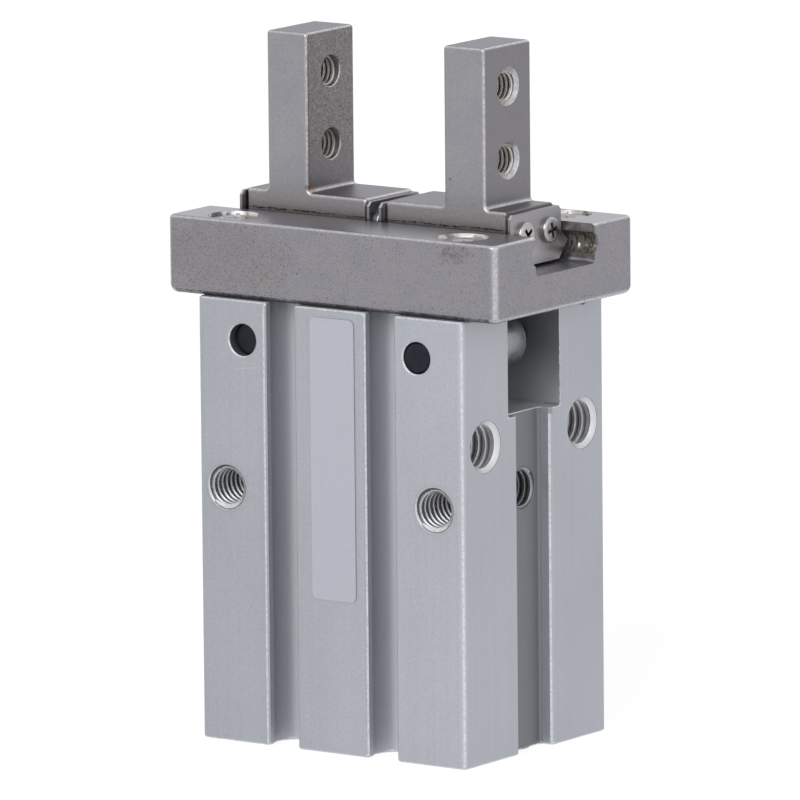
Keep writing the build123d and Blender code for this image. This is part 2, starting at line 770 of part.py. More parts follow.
        # Threads for the stopper screws in both ends
        for end_x, end_way in ((finger_inner_end, -1), (finger_outer_end, 1)):
            end_face = Plane(
                origin=(side * end_x, 0, stopper_screw_z),
                x_dir=(0, 1, 0),
                z_dir=(side * end_way, 0, 0),
            )
            with Locations(end_face):
                with GridLocations(2 * stopper_screw_half_spacing, 0, 2, 1):
                    Hole(
                        radius=stopper_screw_diameter / 2 + seat_gap,
                        depth=stopper_screw_bite + mechanism_gap,
                    )
    finger.part.label = f"{side_name}_finger"
    export_step(finger.part, f"parts/{side_name}_finger.step")

    # Stopper plates close the ends of the ball races
    for plate_name, end_x, end_way in (
        ("inner", finger_inner_end, -1),
        ("outer", finger_outer_end, 1),
    ):
        plate_plane = Plane(
            origin=(side * end_x, 0, 0),
            x_dir=(0, side * end_way, 0),
            z_dir=(side * end_way, 0, 0),
        )
        with BuildPart() as stopper:
            with BuildSketch(plate_plane):
                with BuildLine():
                    Polyline(
                        (0, stopper_top_z),
                        (stopper_half_width - stopper_corner, stopper_top_z),
                        (stopper_half_width, stopper_top_z - stopper_corner),
                        (stopper_half_width, stopper_shoulder_z),
                        (stopper_peak_half_width, stopper_peak_z),
                        (stopper_half_width, finger_bottom_z + stopper_corner),
                        (stopper_half_width - stopper_corner, finger_bottom_z),
                        (0, finger_bottom_z),
                        close=True,
                    )
                make_face()
                mirror(about=Plane.YZ)
            extrude(amount=stopper_thickness)
            with Locations(plate_plane.offset(stopper_thickness)):
                with Locations(
                    (stopper_screw_half_spacing, stopper_screw_z),
                    (-stopper_screw_half_spacing, stopper_screw_z),
                ):
                    Hole(radius=stopper_screw_diameter / 2 + mechanism_gap, depth=stopper_thickness)
        stopper.part.label = f"{side_name}_{plate_name}_stopper"
        export_step(stopper.part, f"parts/{side_name}_{plate_name}_stopper.step")

    # Four cross-recessed screws, two on each stopper plate
    with BuildPart() as stopper_screws:
        for end_x, end_way, head_height in (
            (finger_inner_end, -1, inner_screw_head_height),
            (finger_outer_end, 1, outer_screw_head_height),
        ):
            head_plane = Plane(
                origin=(side * (end_x + end_way * stopper_thickness), 0, stopper_screw_z),
                x_dir=(0, 1, 0),
                z_dir=(side * end_way, 0, 0),
            )
            with BuildSketch(head_plane):
                with GridLocations(2 * stopper_screw_half_spacing, 0, 2, 1):
                    Circle(stopper_screw_head_diameter / 2)
            extrude(amount=head_height)
            head_rims = [
                edge for edge in stopper_screws.edges().filter_by(GeomType.CIRCLE)
                if abs(head_plane.to_local_coords(edge.center()).Z - head_height) < seat_gap
            ]
            fillet(head_rims, screw_rim_share * head_height)
            with BuildSketch(head_plane):
                with GridLocations(2 * stopper_screw_half_spacing, 0, 2, 1):
                    Circle(stopper_screw_diameter / 2)
            extrude(amount=-(stopper_thickness + stopper_screw_bite))
            with BuildSketch(head_plane.offset(head_height)):
                for screw_side, turn in ((-1, front_screw_turn), (1, back_screw_turn)):
                    with Locations((screw_side * stopper_screw_half_spacing, 0)):
                        Rectangle(cross_recess_length, cross_recess_width, rotation=turn)
                        Rectangle(cross_recess_width, cross_recess_length, rotation=turn)
            extrude(amount=-(head_height + cross_recess_below_head), mode=Mode.SUBTRACT)
    stopper_screws.part.label = f"{side_name}_stopper_screws"
    export_step(stopper_screws.part, f"parts/{side_name}_stopper_screws.step")

    # Two rows of balls, which travel half as far as the finger
    row_length = (balls_per_row - 1) * ball_spacing
    row_middle = (finger_inner_end + finger_outer_end) / 2 + finger_stroke / 4
    with BuildPart() as balls:
        for ball_index in range(balls_per_row):
            ball_x = side * (row_middle - row_length / 2 + ball_index * ball_spacing)
            for row_side in (1, -1):
                with Locations((ball_x, row_side * ball_centre_y, ball_centre_z)):
                    Sphere(ball_radius)
    balls.part.label = f"{side_name}_balls"
    export_step(balls.part, f"parts/{side_name}_balls.step")
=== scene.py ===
# %% [markdown]
# # A pneumatic parallel gripper, dressed for its portrait
#
# The solids come from a CAD model: a square aluminium body, a steel guide rail on top of it, two
# steel fingers that slide in the rail, and the levers, piston and screws that move them. This
# lesson keeps those solids as they are, gives each one the finish of the real metal, and adds the
# fine forms that a CAD model leaves out: the screw threads in the holes and the grease in the
# ball races. Everything is measured in metres, with +Z up and the fingers on top.

# %% Load the solids
import json
import math

import bpy
from mathutils import Matrix, Vector, noise


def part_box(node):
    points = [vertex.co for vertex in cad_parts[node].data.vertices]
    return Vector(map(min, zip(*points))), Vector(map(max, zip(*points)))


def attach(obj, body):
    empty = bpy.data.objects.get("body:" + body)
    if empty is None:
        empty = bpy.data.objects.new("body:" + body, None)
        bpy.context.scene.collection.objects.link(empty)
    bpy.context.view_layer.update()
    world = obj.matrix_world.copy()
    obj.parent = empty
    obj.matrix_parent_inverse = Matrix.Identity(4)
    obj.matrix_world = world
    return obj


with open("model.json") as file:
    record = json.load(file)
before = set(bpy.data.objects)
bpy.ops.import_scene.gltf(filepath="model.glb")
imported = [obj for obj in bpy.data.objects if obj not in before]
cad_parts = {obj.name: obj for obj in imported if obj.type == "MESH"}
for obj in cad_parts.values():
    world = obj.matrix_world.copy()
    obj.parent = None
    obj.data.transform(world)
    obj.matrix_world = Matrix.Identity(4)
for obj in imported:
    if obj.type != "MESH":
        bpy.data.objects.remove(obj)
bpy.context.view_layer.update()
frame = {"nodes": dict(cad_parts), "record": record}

MM = 0.001

# %% [markdown]
# ## The camera
#
# The portrait was taken with a long lens from a little over a metre away, so upright edges stay
# upright and the near and far corners are almost the same size. The camera's place could be found
# by trial, but edges with known places give it better: the values below put the edges of the body,
# the rail and the fingers where the portrait has them, to about a pixel. The long lens is kept
# rather than cheated with an orthographic camera, because the slight convergence can be seen along
# the rail.

# %% A long lens, in front and to the right
camera_place = Vector((0.658896, -0.933726, 0.225219))
camera_turn = (0.614633, 1.403526, -0.009363)
camera_data = bpy.data.cameras.new("portrait_camera")
camera_data.sensor_width = 36.0
camera_data.lens = 548.84
camera = bpy.data.objects.new("portrait_camera", camera_data)
bpy.context.scene.collection.objects.link(camera)
around_z, tilt, roll = camera_turn
camera.matrix_world = (
    Matrix.Translation(camera_place)
    @ Matrix.Rotation(around_z, 4, "Z")
    @ Matrix.Rotation(tilt, 4, "X")
    @ Matrix.Rotation(roll, 4, "Z")
)
bpy.context.scene.camera = camera
print("camera %.0f mm from the middle of the part" % (camera_place.length / MM))

# %% [markdown]
# ## Colours and nodes
#
# Every colour in this file is written the way a paint chart gives it, as an sRGB hex value, while
# Blender's sockets want linear light. One function turns one into the other. A second function
# adds a node: it sets the node's options, fills or links its inputs, and hands the node back, so
# that the next one can be linked to it. A setting with a capital, such as Scale, is an input, and
# the others, such as data_type, are the node's own options.

# %% From sRGB hex to linear colour
def linear(text):
    """The linear RGBA value of an sRGB colour such as #A9ACB3."""
    parts = [int(text[i:i + 2], 16) / 255 for i in (1, 3, 5)]
    return tuple(p / 12.92 if p <= 0.04045 else ((p + 0.055) / 1.055) ** 2.4 for p in parts) + (1.0,)


print("mid grey is", [round(v, 3) for v in linear("#808080")])


# %% One node with its settings and links
def add(tree, kind, *values, **settings):
    """Adds a node of a kind, such as "TexNoise", or "Math ADD" where it has an operation.

    Values fill its live inputs in order, and capitalised settings fill them by name. A value is a
    number, a socket, or a node whose first live output is linked.
    """
    kind, *operation = kind.split()
    node = tree.nodes.new("ShaderNode" + kind)
    if operation:
        node.operation = operation[0]
    for name, value in settings.items():
        if name[0].islower():
            setattr(node, name, value)
    live = [socket for socket in node.inputs if socket.enabled]
    by_name = {socket.name: socket for socket in live}
    filled = list(zip(live, values))
    filled += [(by_name[name], value) for name, value in settings.items() if name[0].isupper()]
    for socket, value in filled:
        if isinstance(value, bpy.types.Node):
            value = next(output for output in value.outputs if output.enabled)
        if isinstance(value, bpy.types.NodeSocket):
            tree.links.new(value, socket)
        else:
            socket.default_value = value
    return node


# %% [markdown]
# ## The white room
#
# The portrait stands on white with no edge between floor and wall. A bright floor would also light
# the part from below and wash it out, so the white belongs to what the eye and the reflections
# see, while the light that falls on the part stays at a plain level. The Light Path node tells
# those rays apart. The floor keeps a share of true diffuse white, which lets it carry the part's
# soft shadow.

# %% Rays that should meet plain white
def seen_directly(tree):
    """1 for camera rays, reflections and light through glass, and 0 for light that bounces."""
    path = add(tree, "LightPath")
    either = add(tree, "Math MAXIMUM", path.outputs["Is Camera Ray"], path.outputs["Is Glossy Ray"])
    return add(tree, "Math MAXIMUM", either, path.outputs["Is Transmission Ray"])


# %% The room's walls: the world
ambient_level = 0.42
world = bpy.data.worlds.new("white_room")
world.use_nodes = True
room = world.node_tree
room.nodes.clear()
room_light = add(room, "Background", Color=linear("#FFFFFF"), Strength=ambient_level)
room_white = add(room, "Background", Color=linear("#FFFFFF"), Strength=1.0)
room_mix = add(room, "MixShader", seen_directly(room), room_light, room_white)
add(room, "OutputWorld", Surface=room_mix)
bpy.context.scene.world = world
bpy.context.scene.view_settings.view_transform = "Standard"
print("ambient level", ambient_level)

# %% The floor
floor_half = 4.0
floor_gap = 0.02 * MM
floor_sheet = bpy.data.meshes.new("studio_floor")
corners = ((-1, -1), (1, -1), (1, 1), (-1, 1))
floor_sheet.from_pydata([(x * floor_half, y * floor_half, -floor_gap) for x, y in corners], [], [(0, 1, 2, 3)])
floor = bpy.data.objects.new("studio_floor", floor_sheet)
bpy.context.scene.collection.objects.link(floor)
floor_paint = bpy.data.materials.new("matt_white_paper")
floor_paint.use_nodes = True
paper = floor_paint.node_tree
paper.nodes.clear()
paper_glow = 0.84
shadow_share = add(paper, "BsdfDiffuse", Color=(0.3, 0.3, 0.3, 1.0))
white_share = add(paper, "Emission", Color=linear("#FFFFFF"), Strength=paper_glow)
paper_seen = add(paper, "AddShader", shadow_share, white_share)
paper_lit = add(paper, "BsdfDiffuse", Color=(0.75, 0.75, 0.75, 1.0))
paper_mix = add(paper, "MixShader", seen_directly(paper), paper_lit, paper_seen)
add(paper, "OutputMaterial", Surface=paper_mix)
floor_sheet.materials.append(floor_paint)
print("floor of %.0f m" % (2 * floor_half))

# %% [markdown]
# ## Soft light
#
# Metal shows the shape of whatever lights it. Small lamps would put hard spots on the fingers, so
# the light comes from large soft panels about a metre away: the main one in front and above, a
# weaker one to the right, and one from behind that lifts the top edges. The main one stands almost
# square to the wide face, because that is what lights the grooves down to their floors, as in the
# portrait. An image of a studio could do this too, but lamps need no picture file and each can be
# turned on its own.

# %% A panel lamp that looks at the part
def panel(name, place, size, watts):
    """A square area lamp at a place in metres, turned to the middle of the part."""
    lamp_data = bpy.data.lights.new(name, "AREA")
    lamp_data.shape = "SQUARE"
    lamp_data.size = size
    lamp_data.energy = watts
    lamp = bpy.data.objects.new(name, lamp_data)
    bpy.context.scene.collection.objects.link(lamp)
    lamp.location = place
    aim = Vector((0.0, 0.0, 0.033)) - Vector(place)
    lamp.rotation_euler = aim.to_track_quat("-Z", "Y").to_euler()
    return lamp


# %% The three panels
panels = [
    panel("main_panel", (0.25, -1.2, 0.8), size=0.8, watts=9.2),
    panel("side_panel", (1.15, 0.1, 0.4), size=0.8, watts=1.9),
    panel("rear_panel", (-0.3, 1.1, 0.9), size=0.8, watts=1.5),
]
print("panels:", [(p.name, p.data.energy) for p in panels])

# %% [markdown]
# ## Where the holes are
#
# A few finishes change inside a hole or beside a plate, mostly by painted light and shade, so
# their places are needed. They are those of the CAD model, in millimetres, for the right half of
# the part: the finishes fold the left half onto it. A folded place is never negative, so a block
# that starts at past_fold goes right across the fold. A reach is the distance from a hole's axis
# at which the finish changes. The two jaw holes of a finger lie one above the other, so they are
# folded about the height between them.

# %% Places and reaches, in millimetres
past_fold = -1.0
above_body = 50.0
side_slot_depth = 1.4
lever_pivot = (10.05, 0.0, 38.8)
lever_pivot_reach = 1.56
wide_face_thread = (12.0, 0.0, 24.5)
side_slot_thread = (0.0, 0.0, 25.1)
thread_reach = 2.04
air_port = (0.0, 8.05, 30.3)
air_port_reach = 2.52
guide_screw = (13.2, 8.55, 0.0)
counterbore_reach = 2.6
screw_socket_reach = 1.25
jaw_holes_middle = (0.0, 0.0, 59.8)
jaw_hole = (0.0, 0.0, 3.5)
jaw_hole_reach = 1.49
stopper_plate_start = 14.85
print("side slots %.1f mm deep" % side_slot_depth)

# %% [markdown]
# ## How a material starts and ends
#
# All the finishes here are procedural: they are worked out from the place on the part, not from a
# picture. Each one starts the same way, with a Principled shader and the place on the part in
# millimetres. Millimetres make the patterns easy to size: a noise with scale 1/0.3 has grains of
# 0.3 mm. The object coordinates stay with a finger when it slides, so its grain moves with it.
# Each one ends the same way too: a pattern sets how rough the surface is, and the same pattern or
# another one lifts it a little, because on real metal the two come from the same tool.

# %% A named material with its place in millimetres
def start_material(name):
    """A new material, its node tree, its Principled shader and the place in millimetres."""
    material = bpy.data.materials.new(name)
    material.use_nodes = True
    tree = material.node_tree
    shader = tree.nodes["Principled BSDF"]
    coordinates = add(tree, "TexCoord")
    place = add(tree, "VectorMath MULTIPLY", coordinates.outputs["Object"], (1 / MM, 1 / MM, 1 / MM))
    return material, tree, shader, place


# %% Colour, roughness and relief
def dress(tree, shader, colour, roughness, relief=None, metallic=0.0, ior=None, **options):
    """Fills the shader. Relief is a pattern, its strength and its depth in millimetres.

    Roughness is a pattern, the part of its range that counts, and the roughness at its two ends.
    """
    tree.links.new(colour, shader.inputs["Base Color"])
    rough = add(tree, "MapRange", *roughness)
    tree.links.new(rough.outputs[0], shader.inputs["Roughness"])
    if relief:
        pattern, strength, depth = relief
        bump = add(tree, "Bump", Height=pattern, Strength=strength, Distance=depth * MM, **options)
        tree.links.new(bump.outputs[0], shader.inputs["Normal"])
    shader.inputs["Metallic"].default_value = metallic
    if ior:
        shader.inputs["IOR"].default_value = ior


# %% Mixing colours and masks
smooth = {"interpolation_type": "SMOOTHSTEP"}


def tinted(tree, colour, mask, strength, tint):
    """The colour, mixed with a tint by a mask of so much strength."""
    share = add(tree, "Math MULTIPLY", mask, strength)
    mixed = add(tree, "Mix", share, colour, linear(tint), data_type="RGBA")
    return mixed.outputs[2]


def clouded(tree, pattern, dark, pale):
    """A colour that wanders between two hex values as the pattern does."""
    return add(tree, "Mix", pattern, linear(dark), linear(pale), data_type="RGBA").outputs[2]


def shaded(tree, colour, pattern, *window):
    """The colour, made darker and paler by a pattern. The window is its range and the two shades."""
    shade = add(tree, "MapRange", pattern, *window)
    return add(tree, "Mix", 1.0, colour, shade, data_type="RGBA", blend_type="MULTIPLY").outputs[2]


def ramp(tree, place, axis, *window, **options):
    """A value that changes along one axis. The window is two places and the values there."""
    parts = add(tree, "SeparateXYZ", place)
    return add(tree, "MapRange", parts.outputs[axis], *window, **options)


def overlap(tree, *masks):
    """1 where all the masks are 1: their product."""
    product, *others = masks
    for mask in others:
        product = add(tree, "Math MULTIPLY", product, mask)
    return product


# %% A finish that a single noise makes
def noisy_finish(name, grain, detail, dark, pale, roughness, relief=None, **settings):
    """A material whose tone, roughness and relief all follow one noise, with grains in millimetres."""
    material, tree, shader, place = start_material(name)
    pattern = add(tree, "TexNoise", place, Scale=1 / grain, Detail=detail)
    base = clouded(tree, pattern, dark, pale)
    dress(tree, shader, base, (pattern, *roughness), (pattern, *relief) if relief else None, **settings)
    return material


# %% [markdown]
# ## Where an edge has been broken
#
# On the real part every outer edge is broken by a small bevel, and that bevel is what catches the
# light: it is the brightest line in the portrait, partly because handling has polished it. Here its
# brightness is a painted highlight in the colour, which also stands for that polish. The bevel is
# there in the solids, so no edge-detecting trick is needed. Its faces are the only ones near the
# outside of a block whose normal doesn't lie along an axis, and a few small functions find them.
# Nobody rubs an edge evenly, so the last of them breaks the painted highlight up a little.

# %% The direction that a face looks in, in the piece's own axes
def facing(tree):
    """The smooth normal of the surface, turned into the axes of the piece."""
    surface = add(tree, "NewGeometry")
    return add(tree, "VectorTransform", surface.outputs["Normal"], vector_type="NORMAL", convert_from="WORLD",
               convert_to="OBJECT")


# %% Slanted faces
def slanted(tree, square=0.97, full=0.78):
    """1 on faces that look midway between two axes, such as bevels, falling to 0 on square ones."""
    size = add(tree, "VectorMath ABSOLUTE", facing(tree))
    parts = add(tree, "SeparateXYZ", size)
    wide = add(tree, "Math MAXIMUM", parts.outputs["X"], parts.outputs["Y"])
    most = add(tree, "Math MAXIMUM", wide, parts.outputs["Z"])
    return add(tree, "MapRange", most, square, full, **smooth)


# %% A painted highlight that also stands for wear, broken up unevenly
def highlight_and_wear(tree, place, mask, least, most):
    """A mask thinned by a fine noise, from least to most of its strength."""
    patchiness = add(tree, "TexNoise", place, Scale=1 / 0.3, Detail=2.0)
    share = add(tree, "MapRange", patchiness, 0.4, 0.6, least, most)
    return add(tree, "Math MULTIPLY", mask, share)


# %% Inside a block, or in its outermost layer
def beyond_block(tree, place, low, high):
    """How far the place lies beyond the faces of a block, in millimetres, negative inside it."""
    middle = tuple((a + b) / 2 for a, b in zip(low, high))
    half = tuple((b - a) / 2 for a, b in zip(low, high))
    centred = add(tree, "VectorMath SUBTRACT", place, middle)
    size = add(tree, "VectorMath ABSOLUTE", centred)
    beyond = add(tree, "VectorMath SUBTRACT", size, half)
    parts = add(tree, "SeparateXYZ", beyond)
    wide = add(tree, "Math MAXIMUM", parts.outputs["X"], parts.outputs["Y"])
    return add(tree, "Math MAXIMUM", wide, parts.outputs["Z"])


def inside_block(tree, place, low, high):
    """1 inside the block from low to high and 0 outside it."""
    return add(tree, "Math LESS_THAN", beyond_block(tree, place, low, high), 0.0)


def outer_layer(tree, place, low, high, depth):
    """1 within depth of the faces of the block from low to high, in millimetres."""
    core_low = tuple(a + depth for a in low)
    core_high = tuple(b - depth for b in high)
    return add(tree, "Math GREATER_THAN", beyond_block(tree, place, core_low, core_high), 0.0)


# %% Near an upright or level axis, and a rim that is tipped towards the light
def near_axis(tree, folded, centre, across, reach):
    """1 within reach of an axis through centre, measured only along the directions in across."""
    offset = add(tree, "VectorMath SUBTRACT", folded, centre)
    flat = add(tree, "VectorMath MULTIPLY", offset, across)
    length = add(tree, "VectorMath LENGTH", flat)
    return add(tree, "Math LESS_THAN", length, reach)


def tipped_up(tree, mask, rise):
    """The normal, leaning upwards by rise where the mask is 1, as on a worn rim."""
    surface = add(tree, "NewGeometry")
    height = add(tree, "Math MULTIPLY", mask, rise)
    upwards = add(tree, "CombineXYZ", 0.0, 0.0, height)
    leaning = add(tree, "VectorMath ADD", surface.outputs["Normal"], upwards)
    return add(tree, "VectorMath NORMALIZE", leaning)


def block_of(node):
    """The low and high corner of a CAD node in millimetres, as plain numbers."""
    low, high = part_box(node)
    return tuple(v / MM for v in low), tuple(v / MM for v in high)


print("body block, mm:", [[round(v, 2) for v in corner] for corner in block_of("body")])


# %% [markdown]
# ## Small marks
#
# A used tool has small accidents on it: a rust spot, a smudge, a fine scratch. Each one could be a
# picture, but a soft blob or a soft line is enough at this size. Both are distances: how far is this
# point from a point, or from a short line. A little noise in the distance makes the outline ragged.

# %% A ragged soft spot
def spot(tree, place, centre, half_size, ragged=0.35):
    """1 in the middle of an oval mark and 0 outside it, with an uneven outline."""
    offset = add(tree, "VectorMath SUBTRACT", place, centre)
    scaled = add(tree, "VectorMath DIVIDE", offset, half_size)
    distance = add(tree, "VectorMath LENGTH", scaled)
    wobble = add(tree, "TexNoise", place, Scale=3.0, Detail=4.0)
    uneven = add(tree, "Math MULTIPLY_ADD", wobble, 2.0 * ragged, distance.outputs["Value"])
    return add(tree, "MapRange", uneven, 1.0 + ragged, 0.5 + ragged, **smooth)


# %% A fine scratch
def scratch(tree, place, start, end, half_width):
    """1 along a straight scratch between two points and 0 beside it."""
    run = Vector(end) - Vector(start)
    offset = add(tree, "VectorMath SUBTRACT", place, start)
    share = add(tree, "VectorMath DOT_PRODUCT", offset, tuple(run / run.length_squared))
    clamped = add(tree, "Clamp", share.outputs["Value"])
    nearest = add(tree, "VectorMath SCALE", tuple(run), clamped)
    gap = add(tree, "VectorMath DISTANCE", offset, nearest)
    return add(tree, "MapRange", gap.outputs["Value"], half_width, 0.3 * half_width, **smooth)


# %% [markdown]
# ## Clear anodised aluminium
#
# The body is a length of extruded aluminium bar, cut, milled and then anodised without dye. The
# acid bath leaves a hard, finely etched skin: light spreads over it as over frosted glass, so it
# has no mirror image at all, only a soft sheen, and its grey is slightly blue. The oxide scatters
# as much light as the metal under it reflects, so the metallic value is near a half. Extruding
# leaves very faint lines along the bar. The floors of the side slots are drawn darker. Light and
# shade are also painted into the colour: a paler right side, paler slot walls, grooves, groove
# floors, lower pocket walls and pocket floors, darker pocket walls and bores, a dark pocket sill
# and bright painted highlights on the edges. The grain of the etch is about 0.05 mm and can't be
# seen from a metre, so it is drawn at 0.15 mm, where it just shows as a soft tooth in the highlight.

# %% Where the body is darker or paler than its skin
def body_recesses(tree, place, skin):
    """The skin with painted light and shade in the slots, the sensor grooves, the pockets and the shaft holes.
    """
    high = block_of("body")[1]
    folded = add(tree, "VectorMath ABSOLUTE", place)
    floor_x = high[0] - side_slot_depth
    slot_floor = inside_block(tree, folded, (floor_x - 0.45, past_fold, past_fold),
                              (floor_x + 0.3, 2.8, high[2]))
    slot_wall = inside_block(tree, folded, (floor_x + 0.3, 2.5, past_fold), (high[0] - 0.25, 2.8, high[2]))
    groove = inside_block(tree, folded, (3.7, 7.6, past_fold), (7.9, high[1] - 0.25, high[2]))
    look = add(tree, "SeparateXYZ", facing(tree))
    level = add(tree, "Math ABSOLUTE", look.outputs["Y"])
    outward = add(tree, "MapRange", level, 0.7, 0.97)
    groove_floor = overlap(tree, groove, outward)
    pocket = inside_block(tree, folded, (5.0, past_fold, 32.4), (high[0] - 0.1, 4.35, high[2] + 0.1))
    pocket_low = overlap(tree, pocket, ramp(tree, place, "Z", 39.0, 32.6, **smooth))
    pocket_floor = inside_block(tree, folded, (5.0, past_fold, 32.4), (high[0] + 0.1, 4.4, 32.6))
    # Painted light and shade in the recesses: the slot walls, grooves, groove floors, lower pocket wall and
    # pocket floor are painted paler as light, and the pocket wall darker as shade. The slot floors are drawn
    # darker.
    tones = ((slot_floor, 0.9, "#797A7F"), (slot_wall, 0.2, "#C4C6CA"), (groove, 0.22, "#C4C5C7"),
             (groove_floor, 0.15, "#E2E3E5"), (pocket, 0.45, "#66686D"), (pocket_low, 0.65, "#DCDEE2"),
             (pocket_floor, 0.7, "#D6D7DA"))
    colour = skin
    for mask, strength, tint in tones:
        colour = tinted(tree, colour, mask, strength, tint)
    beyond = (20.0, 20.0, 60.0)
    bores = ((lever_pivot, (1, 0, 1), lever_pivot_reach, (past_fold, 4.3, past_fold), folded),
             (wide_face_thread, (1, 0, 1), thread_reach, (past_fold, 5.8, past_fold), folded),
             (side_slot_thread, (0, 1, 1), thread_reach, (8.9, past_fold, past_fold), folded),
             (air_port, (0, 1, 1), air_port_reach, (10.0, -20.0, 0.0), place))
    # Painted shade: the walls of the bores are painted darker, as the shade inside the holes.
    for centre, across, reach, depth_limit, side in bores:
        hole = near_axis(tree, folded, centre, across, reach)
        outer = inside_block(tree, side, depth_limit, beyond)
        wall = overlap(tree, hole, outer)
        colour = tinted(tree, colour, wall, 0.8, "#4E4F54")
    return colour


# %% The body's finish
def anodised_aluminium():
    material, tree, shader, place = start_material("clear_anodised_extruded_aluminium")
    low, high = block_of("body")
    clouds = add(tree, "TexNoise", place, Scale=1 / 16, Detail=2.0)
    # The clouds are the oxide's own uneven tone; the ramp across the bar is painted light, paler towards the
    # right side.
    painted_side_light = ramp(tree, place, "X", low[0], high[0], -0.3, 0.3)
    oxide_cloud_and_side_light = add(tree, "Math ADD", clouds, painted_side_light, use_clamp=True)
    base = clouded(tree, oxide_cloud_and_side_light, "#A7AAB1", "#B6B9C1")
    along_bar = add(tree, "VectorMath MULTIPLY", place, (1 / 0.35, 1 / 0.35, 1 / 30))
    lines = add(tree, "TexNoise", along_bar, Scale=1.0, Detail=1.0)
    tooth = add(tree, "TexNoise", place, Scale=1 / 0.15, Detail=2.0)
    uneven = add(tree, "Math MULTIPLY_ADD", lines, 0.2, tooth)
    skin = shaded(tree, base, uneven, 0.3, 0.9, 0.87, 1.13)
    toned = body_recesses(tree, place, skin)
    folded = add(tree, "VectorMath ABSOLUTE", place)
    pocket_sill = inside_block(tree, folded, (13.6, past_fold, 31.9), (high[0] + 0.1, 4.8, 32.9))
    highlit_edge_blocks = (((7.2, high[1] - 0.12, past_fold), (14.8, high[1] + 0.1, above_body)),
                     ((3.0, high[1] - 0.27, past_fold), (4.6, high[1] - 0.11, above_body)),
                     ((high[0] - 0.32, past_fold, past_fold), (high[0] - 0.14, 3.3, above_body)),
                     ((high[0] - 0.5, high[1] - 0.5, past_fold), (high[0] + 0.1, high[1] + 0.1, above_body)),
                     ((past_fold, past_fold, high[2] - 0.3), (high[0] + 0.1, high[1] + 0.1, high[2] + 0.1)),
                     ((past_fold, past_fold, -0.1), (high[0] + 0.1, high[1] + 0.1, 0.3)))
    lips = 0.0
    for block_low, block_high in highlit_edge_blocks:
        lips = add(tree, "Math MAXIMUM", inside_block(tree, folded, block_low, block_high), lips)
    worn_and_lit_edges = add(tree, "Math SUBTRACT", lips, pocket_sill, use_clamp=True)
    broken = overlap(tree, slanted(tree, 0.93, 0.74), worn_and_lit_edges)
    # Painted highlight on the broken edges, which also stands for wear.
    edges = tinted(tree, toned, highlight_and_wear(tree, place, broken, 0.5, 1.0), 0.85, "#E2E4E8")
    # Painted shade on the bevels of the pocket's sill.
    edges = tinted(tree, edges, overlap(tree, slanted(tree), pocket_sill), 0.5, "#77797E")
    # A thin painted highlight along the pocket's outer edge.
    pocket_edge_highlight = inside_block(tree, place, (high[0] - 0.1, 4.25, 32.6), (high[0] + 0.1, 4.42, high[2]))
    edges = tinted(tree, edges, highlight_and_wear(tree, place, pocket_edge_highlight, 0.0, 1.0), 0.9, "#E4E5E8")
    line = scratch(tree, place, (-11.04, low[1], 35.94), (-7.77, low[1], 36.42), 0.05)
    marked = tinted(tree, edges, line, 0.3, "#D4D6DA")
    dirt_and_light_patches = spot(tree, place, (15.3, 8.3, 41.85), (0.6, 0.55, 0.35))
    soiled = tinted(tree, marked, dirt_and_light_patches, 1.0, "#4A4745")
    dress(tree, shader, soiled, (tooth, 0.3, 0.7, 0.45, 0.55), (uneven, 0.4, 0.01), metallic=0.55)
    return material


# %% [markdown]
# ## Hardened and ground steel
#
# The guide rail is a block of hardened stainless steel. Its sides are ground and then lightly
# blasted, which leaves a satin skin with fine pits, and years of handling have left it a little
# brown in places. The top is ground once more after assembly, so it is smoother, and the fingers
# mirror softly in it. The pits are about 0.1 mm across. They are drawn with a Voronoi pattern,
# whose cells each hold one pit, and most cells are left empty.

# %% Fine dark pits
def pits(tree, place, cell, share, radius):
    """1 in small pits, one at most in each cell of so many millimetres, in a share of the cells."""
    cells = add(tree, "TexVoronoi", place, Scale=1 / cell)
    chance = add(tree, "SeparateColor", cells.outputs["Color"])
    filled = add(tree, "Math LESS_THAN", chance.outputs[0], share)
    round_pit = add(tree, "MapRange", cells.outputs["Distance"], radius / cell, 0.4 * radius / cell)
    return overlap(tree, round_pit, filled)


